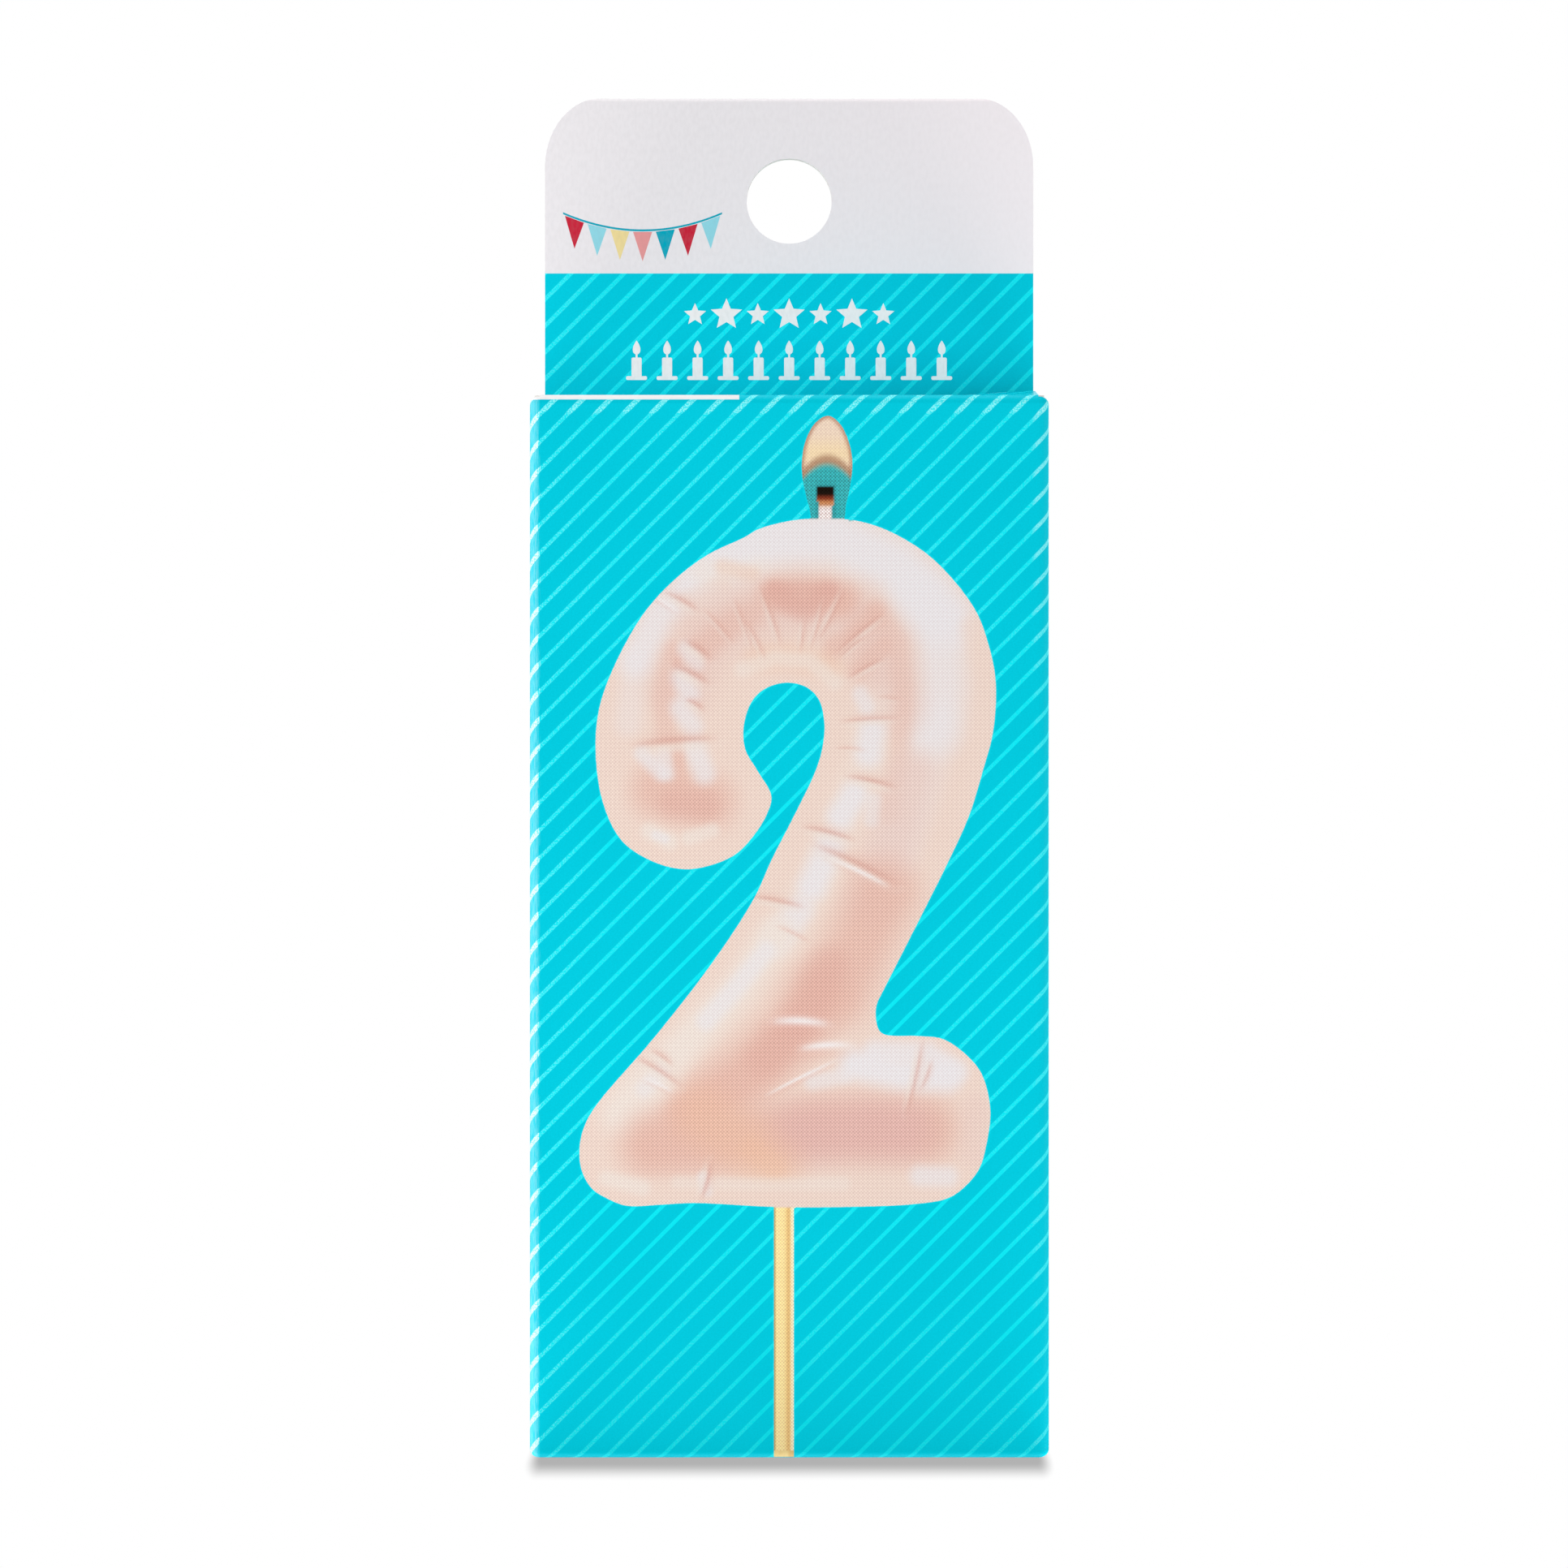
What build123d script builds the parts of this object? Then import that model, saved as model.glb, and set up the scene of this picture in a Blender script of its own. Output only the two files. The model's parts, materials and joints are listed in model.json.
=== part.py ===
from build123d import *

# A boxed numeral birthday candle: a hang-tab folding carton of printed board, tucked shut at both
# ends, with a balloon-shaped "2" of wax on a wooden stick standing inside it.
# Millimetres. X runs across the front, Y from the front panel to the back, and Z up. The origin is
# the middle of the carton's footprint, on the surface that it stands on.

import os
from math import cos, radians, sin

# Carton
WIDTH = 58.0
DEPTH = 20.0
HEIGHT = 118.5
BOARD = 0.45
GLUE = 0.1
CORNER_R = 1.2  # outer radius of the four upright folds
FOLD_R = 0.9  # outer radius of the folds that open
RELIEF = 1.4  # how far a lid's root is stepped back beside its fold

# Lids, tuck flaps and dust flaps, the same at both ends
LID_W = 57.0
LID_REACH = 18.4  # from the front fold to the tuck flap's outer face
LID_GAP = 0.15  # between a lid and the dust flaps under it
TUCK_W = 54.0
TUCK_LENGTH = 7.2  # the flat below its fold
TUCK_CORNER = 5.0
TUCK_LEAN = 22.0  # degrees inward from upright, so that it swings out clear of the back
DUST_REACH = 15.0
DUST_FRONT = 1.6  # clear of the front fold at the root
DUST_SLOPE = 0.5  # how fast the front edge runs back towards the tip
DUST_BACK = 16.7
DUST_BACK_TIP = 14.5
DUST_SHOULDER = 9.0  # where the back edge starts to run forward
DUST_CORNER = 1.5

# Hang tab
TAB_W = 56.8
TAB_TOP = 155.0
TAB_CORNER_X = 6.6
TAB_CORNER_Z = 8.0
TAB_LEG = 8.0  # how far the folded ply reaches down inside the carton
TAB_LEG_W = 49.0
HOLE_D = 9.9
HOLE_Z = 143.0

# Seam
SEAM_W = 13.0
SEAM_END = 3.0  # how far short of the folds the seam stops
SEAM_TAPER = 4.0

# Candle
STICK_X = -0.6
STICK_D = 2.2
STICK_FOOT = 0.6
STICK_TOP = 46.0
WICK_X = 4.0
WICK_D = 1.6
WICK_FOOT = 92.0
WICK_TOP = 108.3
WAX_THICK = 13.4
LIMB_R = 9.2
ARCH_CENTRE = (0.0, 82.0)
ARCH_R = 13.6
ARCH_START = -28.0
ARCH_SWEEP = 226.0
BULB = (-12.1, 75.4)
BULB_R = 9.7
HEEL = (-14.0, 37.4)  # where the diagonal meets the base
TOE = (12.9, 37.6)
WAIST_R = 8.2
BASE_R = 9.4
BALL_PROUD = 0.08  # the balls at the limbs' ends stand this far proud of them

FRONT = -DEPTH / 2
BACK = DEPTH / 2
SIDE = WIDTH / 2
PLY = BACK - BOARD - GLUE  # outer face of the layer glued inside the back panel
TUCK_Y = FRONT + LID_REACH
DUST_Z = BOARD + LID_GAP  # how far the dust flaps' folds lie inside the lids' faces
FLAT_X = SIDE - CORNER_R
UP, DOWN = Vector(0, 0, 1), Vector(0, 0, -1)
LEFT, RIGHT = Vector(-1, 0, 0), Vector(1, 0, 0)
FORWARD, BACKWARD = Vector(0, -1, 0), Vector(0, 1, 0)


def folded_board(outline, length, start_turn=45, end_turn=0):
    """Board whose flat runs from x 0 to length, its outer face at y 0, cut to an outline in x and z.

    Each end runs on round its fold by so many degrees, to the mitre through the fold line.
    """
    middle = trace(Line((0, -BOARD / 2), (length, -BOARD / 2)), BOARD)
    for x, turn in ((0, start_turn), (length, -end_turn)):
        if turn:
            middle += trace(CenterArc((x, -FOLD_R), FOLD_R - BOARD / 2, 90, turn), BOARD)
    return extrude(middle, WIDTH, both=True) & extrude(Plane.XZ * outline, WIDTH, both=True)


def placed(panel, origin, along, outward):
    """The panel with its x along one direction and its outer face looking outward."""
    return Plane(origin=origin, x_dir=along, z_dir=along.cross(outward)) * panel


def outline_of(points, radius=0, rounded=()):
    """A flat outline, with the corners numbered in rounded filleted."""
    corners = [Vector(*p) for p in points]
    face = make_face(Polyline(*corners, close=True))
    if not rounded:
        return face
    chosen = [v for v in face.vertices() if any((Vector(v) - corners[i]).length < 1e-6 for i in rounded)]
    return fillet(chosen, radius)


def upright_fold(x, y, bottom, top):
    """The quarter ring of board at one upright corner, whose sharp corner would be at x, y."""
    toward_x = -1 if x > 0 else 1
    toward_y = -1 if y > 0 else 1
    centre = (x + toward_x * CORNER_R, y + toward_y * CORNER_R)
    ring = Circle(CORNER_R) - Circle(CORNER_R - BOARD)
    quarter = Pos(-toward_x * CORNER_R / 2, -toward_y * CORNER_R / 2) * Rectangle(CORNER_R, CORNER_R)
    return Pos(*centre, bottom) * extrude(ring & quarter, top - bottom)


def front_panel():
    """The printed front, with both of its upright folds and half of each lid's fold."""
    flat = outline_of(
        [(-FOLD_R, -FLAT_X), (HEIGHT, -FLAT_X), (HEIGHT, FLAT_X), (-FOLD_R, FLAT_X)]
    )
    board = folded_board(flat, HEIGHT - 2 * FOLD_R, end_turn=45)
    panel = placed(board, (0, FRONT, HEIGHT - FOLD_R), DOWN, FORWARD)
    for x in (-SIDE, SIDE):
        panel += upright_fold(x, FRONT, RELIEF, HEIGHT - RELIEF)
    return panel


def side_panel(side):
    """One side, flat between the upright folds. It carries a dust flap at each end."""
    x, outward = (-SIDE, LEFT) if side == "left" else (SIDE, RIGHT)
    sign = DOWN.cross(outward).Y
    front = FRONT + CORNER_R
    back = BACK - CORNER_R if side == "left" else PLY - CORNER_R
    root_front = FRONT + DUST_FRONT
    root_back = FRONT + DUST_BACK
    tall = HEIGHT - 2 * DUST_Z
    step = RELIEF - DUST_Z
    corners = [
        (0, root_front),
        (step, root_front),
        (step, front),
        (tall - step, front),
        (tall - step, root_front),
        (tall, root_front),
        (tall, root_back),
        (tall - step, root_back),
        (tall - step, back),
        (step, back),
        (step, root_back),
        (0, root_back),
    ]
    flat = outline_of([(s - FOLD_R, sign * y) for s, y in corners])
    board = folded_board(flat, tall - 2 * FOLD_R, end_turn=45)
    return placed(board, (x, 0, HEIGHT - DUST_Z - FOLD_R), DOWN, outward)


def tab_shape():
    """The hang tab's outline in x and z, with its rounded shoulders and its hole."""
    half = TAB_W / 2
    flat_half = half - TAB_CORNER_X
    shoulder = TAB_TOP - TAB_CORNER_Z
    sides = Polyline((-half, shoulder), (-half, 0), (half, 0), (half, shoulder))
    right = EllipticalCenterArc((flat_half, shoulder), TAB_CORNER_X, TAB_CORNER_Z, 0, arc_size=90)
    left = EllipticalCenterArc((-flat_half, shoulder), TAB_CORNER_X, TAB_CORNER_Z, 90, arc_size=90)
    top = Line((-flat_half, TAB_TOP), (flat_half, TAB_TOP))
    return make_face([sides, right, left, top]) - Pos(0, HOLE_Z) * Circle(HOLE_D / 2)


def slab(shape, front, back):
    """An outline in x and z made solid between two distances from front to back."""
    return extrude(Plane.XZ.offset(-back) * shape, back - front)


def back_panel():
    """The back, with its left upright fold, which runs on up as the hang tab's rear ply."""
    left, right = -FLAT_X, SIDE - BOARD
    bottom = DUST_Z + BOARD
    middle = (left + right) / 2
    top = HEIGHT - RELIEF
    panel = Pos(middle, (top + bottom) / 2) * Rectangle(right - left, top - bottom)
    rear_ply = tab_shape() & Pos(0, (TAB_TOP + HEIGHT - 2 * RELIEF) / 2) * Rectangle(
        WIDTH, TAB_TOP - HEIGHT + 2 * RELIEF
    )
    fold_top = Pos(0, TAB_TOP) * Rectangle(WIDTH, BOARD * 2 + GLUE)
    sheet = slab(panel + (rear_ply - fold_top), BACK - BOARD, BACK)
    return sheet + upright_fold(-SIDE, BACK, RELIEF, HEIGHT - RELIEF)


def glue_flap():
    """The strip behind the right side's back fold, which is glued inside the back panel."""
    outer, inner = FLAT_X, FLAT_X - SEAM_W
    bottom, top = RELIEF + SEAM_END, HEIGHT - TAB_LEG - SEAM_END
    shape = outline_of(
        [
            (outer, RELIEF),
            (outer, HEIGHT - RELIEF),
            (outer - SEAM_END, top),
            (inner, top - SEAM_TAPER),
            (inner, bottom + SEAM_TAPER),
            (outer - SEAM_END, bottom),
        ]
    )
    return slab(shape, PLY - BOARD, PLY) + upright_fold(SIDE, PLY, RELIEF, HEIGHT - RELIEF)


def hang_tab_front_ply():
    """The tab's printed front ply, folded over at the top, with its leg glued inside the back."""
    half_thick = BOARD + GLUE / 2
    middle = BACK - half_thick
    fold_z = TAB_TOP - half_thick
    foot = HEIGHT - TAB_LEG
    leg = Pos(0, (HEIGHT + foot) / 2) * Rectangle(TAB_LEG_W, HEIGHT - foot)
    above = Pos(0, (TAB_TOP + HEIGHT) / 2) * Rectangle(WIDTH, TAB_TOP - HEIGHT)
    flat = (tab_shape() & above) + leg
    ply = slab(flat - Pos(0, TAB_TOP) * Rectangle(WIDTH, 2 * half_thick), PLY - BOARD, PLY)
    ring = Circle(half_thick) - Circle(GLUE / 2)
    upper = Pos(0, half_thick / 2) * Rectangle(2 * half_thick, half_thick)
    half_ring = extrude(Plane.YZ * Pos(middle, fold_z) * (ring & upper), SIDE, both=True)
    return ply + (half_ring & slab(tab_shape(), PLY - 1, BACK + 1))


def hang_tab_glue():
    """The film of glue between the tab's two plies, kept clear of the hole."""
    inset = 2.0
    low, high = HEIGHT - TAB_LEG + inset, TAB_TOP - TAB_CORNER_Z
    film = Pos(0, (low + high) / 2) * Rectangle(TAB_W - 4 * inset, high - low)
    return slab(film - Pos(0, HOLE_Z) * Circle(HOLE_D / 2 + inset), PLY, PLY + GLUE)


def seam_glue():
    """The film of glue between the glue flap and the back panel."""
    inset = 2.5
    low, high = RELIEF + 3 * inset, HEIGHT - TAB_LEG - 4 * inset
    film = Pos(FLAT_X - SEAM_W / 2, (low + high) / 2) * Rectangle(SEAM_W - 2 * inset, high - low)
    return slab(film, PLY, PLY + GLUE)


def lid(end):
    """The lid on the front panel's edge, with half of its fold and half of the tuck flap's."""
    root, half = FLAT_X, LID_W / 2
    length = LID_REACH - 2 * FOLD_R
    step = RELIEF - FOLD_R
    right = [(-FOLD_R, root), (step, root), (step, half), (length, half)]
    right += [(length, TUCK_W / 2), (length + FOLD_R, TUCK_W / 2)]
    left = [(s, -w) for s, w in reversed(right)]
    z, outward = (HEIGHT, UP) if end == "top" else (0, DOWN)
    board = folded_board(outline_of(right + left), length, end_turn=45)
    return placed(board, (0, FRONT + FOLD_R, z), BACKWARD, outward)


def tuck_flap(end):
    """The rounded flap that slides down in front of the back panel and holds the lid shut."""
    half = TUCK_W / 2
    flat = outline_of(
        [(-FOLD_R, -half), (TUCK_LENGTH, -half), (TUCK_LENGTH, half), (-FOLD_R, half)],
        TUCK_CORNER,
        (1, 2),
    )
    z, down = (HEIGHT, DOWN) if end == "top" else (0, UP)
    lean = radians(TUCK_LEAN)
    along = down * cos(lean) + FORWARD * sin(lean)
    outward = BACKWARD * cos(lean) + down * sin(lean)
    fold_centre = Vector(0, TUCK_Y - FOLD_R, z) + down * FOLD_R
    board = folded_board(flat, TUCK_LENGTH, start_turn=45 + TUCK_LEAN)
    return placed(board, fold_centre + outward * FOLD_R, along, outward)


def dust_flap(end, side):
    """One side's flap under a lid, tapered so that it clears the lid's fold and the tuck flap."""
    corners = [
        (0, DUST_FRONT),
        (DUST_REACH, DUST_FRONT + DUST_SLOPE * DUST_REACH),
        (DUST_REACH, DUST_BACK_TIP),
        (DUST_SHOULDER, DUST_BACK),
        (0, DUST_BACK),
    ]
    x, along = (-SIDE, RIGHT) if side == "left" else (SIDE, LEFT)
    z, outward = (HEIGHT - DUST_Z, UP) if end == "top" else (DUST_Z, DOWN)
    sign = along.cross(outward).Y
    flat = outline_of([(s - FOLD_R, sign * (FRONT + y)) for s, y in corners], DUST_CORNER, (1, 2))
    board = folded_board(flat, DUST_REACH - FOLD_R)
    return placed(board, Vector(x, 0, z) + along * FOLD_R, along, outward)


def rod(x, bottom, top, diameter):
    """An upright round rod in the candle's middle plane."""
    return Pos(x, 0, bottom) * Cylinder(
        diameter / 2, top - bottom, align=(Align.CENTER, Align.CENTER, Align.MIN)
    )


def limb(start, end, start_r, end_r):
    """A straight tapering limb in the plane of x and z, with a ball at each end."""
    a, b = Vector(start[0], 0, start[1]), Vector(end[0], 0, end[1])
    axis = Plane(origin=a, z_dir=b - a)
    end = axis.offset((b - a).length)
    body = loft([axis * Circle(start_r), end * Circle(end_r)], ruled=True)
    return body + Pos(*a) * Sphere(start_r + BALL_PROUD) + Pos(*b) * Sphere(end_r + BALL_PROUD)


def wax_numeral():
    """The balloon-shaped 2: a bulb, an arch, a diagonal and a base, flatter than they are wide."""
    cx, cz = ARCH_CENTRE
    ring = Plane(origin=(cx, 0, cz), x_dir=(1, 0, 0), z_dir=(0, -1, 0))
    section = Plane(origin=(ARCH_R, 0, 0), z_dir=(0, 1, 0)) * Circle(LIMB_R)
    arch = ring * (Rot(Z=ARCH_START) * revolve(section, Axis.Z, ARCH_SWEEP))
    start = Vector(ARCH_R, 0).rotate(Axis.Z, ARCH_START)
    shoulder = (cx + start.X, cz + start.Y)
    wax = arch + Pos(BULB[0], 0, BULB[1]) * Sphere(BULB_R)
    wax += limb(shoulder, HEEL, LIMB_R, WAIST_R)
    wax += limb(HEEL, TOE, BASE_R, BASE_R)
    wax = scale(wax, by=(1, WAX_THICK / (2 * BASE_R), 1))
    wax -= rod(STICK_X, 0, STICK_TOP, STICK_D)
    return wax - rod(WICK_X, WICK_FOOT, HEIGHT, WICK_D)


NODES = {
    "front_panel": front_panel(),
    "left_side_panel": side_panel("left"),
    "right_side_panel": side_panel("right"),
    "back_panel": back_panel(),
    "glue_flap": glue_flap(),
    "seam_glue": seam_glue(),
    "hang_tab_front_ply": hang_tab_front_ply(),
    "hang_tab_glue": hang_tab_glue(),
    "wax_numeral": wax_numeral(),
    "wick": rod(WICK_X, WICK_FOOT, WICK_TOP, WICK_D),
    "wooden_stick": rod(STICK_X, STICK_FOOT, STICK_TOP, STICK_D),
}
for end in ("top", "bottom"):
    NODES[f"{end}_lid"] = lid(end)
    NODES[f"{end}_tuck_flap"] = tuck_flap(end)
    for side in ("left", "right"):
        NODES[f"{end}_{side}_dust_flap"] = dust_flap(end, side)

os.makedirs("parts", exist_ok=True)
for name, shape in NODES.items():
    export_step(shape, f"parts/{name}.step")
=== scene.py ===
import json
from functools import partial, reduce
from math import cos, pi, radians, sin, sqrt

import bpy
import numpy as np
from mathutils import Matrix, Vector, geometry


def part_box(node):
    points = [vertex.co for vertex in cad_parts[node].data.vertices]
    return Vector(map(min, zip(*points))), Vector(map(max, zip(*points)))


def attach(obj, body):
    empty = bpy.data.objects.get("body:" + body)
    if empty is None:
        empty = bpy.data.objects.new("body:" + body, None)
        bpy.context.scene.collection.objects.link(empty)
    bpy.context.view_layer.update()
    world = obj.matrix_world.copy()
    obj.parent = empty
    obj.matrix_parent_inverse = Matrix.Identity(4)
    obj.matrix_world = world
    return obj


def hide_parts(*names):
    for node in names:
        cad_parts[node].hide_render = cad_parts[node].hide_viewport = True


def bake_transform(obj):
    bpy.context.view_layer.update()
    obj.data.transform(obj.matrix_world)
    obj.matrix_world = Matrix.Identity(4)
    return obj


# A boxed numeral birthday candle. The script works in millimetres and scales to metres as each
# mesh is made. The carton is one cut sheet of board: "sheet" coordinates u and v run across and up
# its printed face, unrolled, with the front panel at u = x and v = z, so that one pattern of
# stripes runs on over every fold.

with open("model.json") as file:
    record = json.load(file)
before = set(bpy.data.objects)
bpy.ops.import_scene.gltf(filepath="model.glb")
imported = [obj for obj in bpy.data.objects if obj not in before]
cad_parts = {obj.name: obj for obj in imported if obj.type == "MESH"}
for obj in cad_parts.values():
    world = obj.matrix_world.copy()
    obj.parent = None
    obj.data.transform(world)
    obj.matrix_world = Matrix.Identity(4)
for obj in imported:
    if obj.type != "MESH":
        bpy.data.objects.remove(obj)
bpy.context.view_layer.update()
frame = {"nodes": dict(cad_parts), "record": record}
MM = 0.001


def box_mm(node):
    """A CAD node's lowest and highest corners in millimetres."""
    low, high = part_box(node)
    return np.array(low) / MM, np.array(high) / MM


FRONT_BOX = box_mm("front_panel")
BACK_BOX = box_mm("back_panel")
LID_BOX = box_mm("top_lid")
TAB_BOX = box_mm("hang_tab_front_ply")
STICK_BOX = box_mm("wooden_stick")
WICK_BOX = box_mm("wick")
HOLE = next(m for m in frame["record"]["mounts"] if m["name"] == "hang_hole")

SIDE = FRONT_BOX[1][0]
FRONT = FRONT_BOX[0][1]
BACK = BACK_BOX[1][1]
HEIGHT = LID_BOX[1][2]
TAB_TOP = TAB_BOX[1][2]
TAB_HALF = TAB_BOX[1][0]
LID_HALF = LID_BOX[1][0]
HOLE_Z = HOLE["pos_m"][2] / MM
HOLE_R = HOLE["dims"]["r_mm"]
HOLE_STEPS = 64

# Sizes that the CAD model's folds and flaps have too
BOARD = 0.45
GLUE = 0.1
CORNER_R = 1.2
FOLD_R = 0.9
RELIEF = 1.4
DUST_DROP = 0.6
LID_REACH = 18.4
TUCK_HALF = 27.0
TUCK_LENGTH = 7.2
TUCK_CORNER = 5.0
TUCK_LEAN = 22.0
DUST_REACH = 15.0
DUST_FRONT, DUST_SLOPE, DUST_BACK, DUST_BACK_TIP, DUST_SHOULDER = 1.6, 0.5, 16.7, 14.5, 9.0
SEAM_W = 13.0
TAB_CORNER_X, TAB_CORNER_Z = 6.6, 8.0
TAB_LEG, TAB_LEG_HALF = 8.0, 24.5

FLAT_X = SIDE - CORNER_R
FLAT_Y = BACK - CORNER_R
PLY = BACK - BOARD - GLUE
QUARTER = CORNER_R * pi / 2
FOLD_ARC = FOLD_R * pi / 2
CORNER_DROP = 1.5  # how far the front's top and bottom edges curve away at its upright folds


# ---------------------------------------------------------------- the sheet of board


def course(start, point, heading, runs):
    """A board's outer face seen along its folds, as a function of the distance along it.

    Each run is a flat's length, or the radius and degrees of a fold to the left.
    """
    pieces, s, (a, b), turn = [], start, point, radians(heading)
    for run in runs:
        pieces.append((s, a, b, turn, run))
        if isinstance(run, tuple):
            radius, angle = run[0], radians(run[1])
            a += radius * (sin(turn + angle) - sin(turn))
            b -= radius * (cos(turn + angle) - cos(turn))
            s, turn = s + radius * angle, turn + angle
        else:
            a, b, s = a + run * cos(turn), b + run * sin(turn), s + run

    def at(distance):
        distance = np.asarray(distance, float)
        out_a, out_b = np.empty_like(distance), np.empty_like(distance)
        for index, (s0, a0, b0, h, run) in enumerate(pieces):
            here = distance >= s0 if index else np.ones(distance.shape, bool)
            d = distance[here] - s0
            if isinstance(run, tuple):
                out_a[here] = a0 + run[0] * (np.sin(h + d / run[0]) - sin(h))
                out_b[here] = b0 - run[0] * (np.cos(h + d / run[0]) - cos(h))
            else:
                out_a[here], out_b[here] = a0 + d * cos(h), b0 + d * sin(h)
        return out_a, out_b

    return at


# Round the carton, from the back panel's seam edge by the left, front and right to the glue flap
BACK_W = FLAT_X + SIDE - BOARD
SIDE_W = 2 * FLAT_Y
WRAP_START = -(FLAT_X + 2 * QUARTER + SIDE_W + BACK_W)
WRAP = course(
    WRAP_START,
    (SIDE - BOARD, BACK),
    180,
    [BACK_W, (CORNER_R, 90), SIDE_W, (CORNER_R, 90), 2 * FLAT_X]
    + [(CORNER_R, 90), PLY + FLAT_Y - CORNER_R, (CORNER_R, 90), SEAM_W],
)
LEFT_U = -FLAT_X - QUARTER  # where the left side's flat starts, at its front
RIGHT_U = FLAT_X + QUARTER
BACK_U = LEFT_U - SIDE_W - QUARTER - FLAT_X  # the middle of the back panel
TOP_V = HEIGHT - FOLD_R
LID_FLAT = LID_REACH - 2 * FOLD_R
LID_RUNS = [(FOLD_R, 90), LID_FLAT, (FOLD_R, 90 + TUCK_LEAN), TUCK_LENGTH]
LID_COURSES = {
    "top": course(0, (0, FRONT), 0, [TOP_V] + LID_RUNS),
    "bottom": course(-TOP_V, (-TOP_V, FRONT), 0, [TOP_V - FOLD_R] + LID_RUNS),
}
DUST_FLAT = DUST_REACH - FOLD_R
DUST_V = TOP_V - DUST_DROP
DUST_COURSES = {
    "top": course(0, (0, -SIDE), 0, [DUST_V, (FOLD_R, 90), DUST_FLAT]),
    "bottom": course(-DUST_V, (-DUST_V, -SIDE), 0, [DUST_V - DUST_DROP - FOLD_R, (FOLD_R, 90), DUST_FLAT]),
}
TAB_R = BOARD + GLUE / 2
TAB_V = TAB_TOP - TAB_R
TAB_COURSE = course(0, (0, PLY - BOARD), 0, [TAB_V, (TAB_R, 180), 1.0])

# The shut lid isn't pushed right home: its rear right corner stands up
LIFT = 2.45
BULGE = 0.16  # and its fold stands a little proud all along
LIFT_X = (-6.0, 34.0)


def smoothstep(low, high, value):
    """0 below low, 1 above high, and a smooth rise between them."""
    t = np.clip((value - low) / (high - low), 0, 1)
    return t * t * (3 - 2 * t)


def wrap_bend(u, v):
    x, y = WRAP(u)
    return np.stack([x, y, v], -1)


def front_bend(u, v):
    """The front, whose corner folds run on over its top and bottom as small rounded caps."""
    x, y = WRAP(u)
    turn = np.clip((np.abs(u) - FLAT_X) / QUARTER, 0, 1) * pi / 2
    over = np.maximum(np.maximum(v - TOP_V, FOLD_R - v), 0) / FOLD_R
    inward = FOLD_R * (1 - np.cos(over))
    x = x - np.sign(u) * np.sin(turn) * inward
    y = y + np.cos(turn) * inward
    z = np.clip(v, FOLD_R, TOP_V) + np.sign(v - HEIGHT / 2) * FOLD_R * np.sin(over)
    return np.stack([x, y, z], -1)


def lid_bend(end):
    sign = 1 if end == "top" else -1

    def bend(u, v):
        a, y = LID_COURSES[end](sign * v)
        if end == "top":
            rear = np.clip((y - FRONT - FOLD_R) / (LID_REACH - FOLD_R), 0, 1) ** 1.5
            a = a + LIFT * smoothstep(*LIFT_X, u) * rear + BULGE * smoothstep(FRONT, FRONT + FOLD_R, y)
        return np.stack([u, y, sign * a], -1)

    return bend


def dust_bend(end, side):
    sign = 1 if end == "top" else -1
    mirror = 1 if side == "left" else -1

    def bend(u, v):
        a, x = DUST_COURSES[end](sign * v)
        y = (LEFT_U - u if side == "left" else u - RIGHT_U) - FLAT_Y
        return np.stack([mirror * x, y, sign * a], -1)

    return bend


def tab_bend(u, v):
    z, y = TAB_COURSE(v)
    return np.stack([u, y, z], -1)


def loops_to_mesh(name, points, faces, materials, indices, normals, layers):
    """A mesh object from points in mm, with per-corner normals and named point attributes."""
    mesh = bpy.data.meshes.new(name)
    mesh.from_pydata((np.asarray(points) * MM).tolist(), [], faces)
    for material in materials:
        mesh.materials.append(material)
    mesh.polygons.foreach_set("material_index", np.asarray(indices, np.int32))
    for layer, values in layers.items():
        values = np.asarray(values, np.float32)
        kind = {1: "FLOAT", 3: "FLOAT_VECTOR", 4: "FLOAT_COLOR"}[1 if values.ndim == 1 else values.shape[1]]
        data = mesh.attributes.new(layer, kind, "POINT").data
        key = {"FLOAT": "value", "FLOAT_VECTOR": "vector", "FLOAT_COLOR": "color"}[kind]
        data.foreach_set(key, values.ravel())
    mesh.validate()
    mesh.update()
    mesh.polygons.foreach_set("use_smooth", np.ones(len(mesh.polygons), bool))
    if normals is not None:
        mesh.normals_split_custom_set(normals)
    piece = bpy.data.objects.new(name, mesh)
    bpy.context.scene.collection.objects.link(piece)
    return piece


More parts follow.
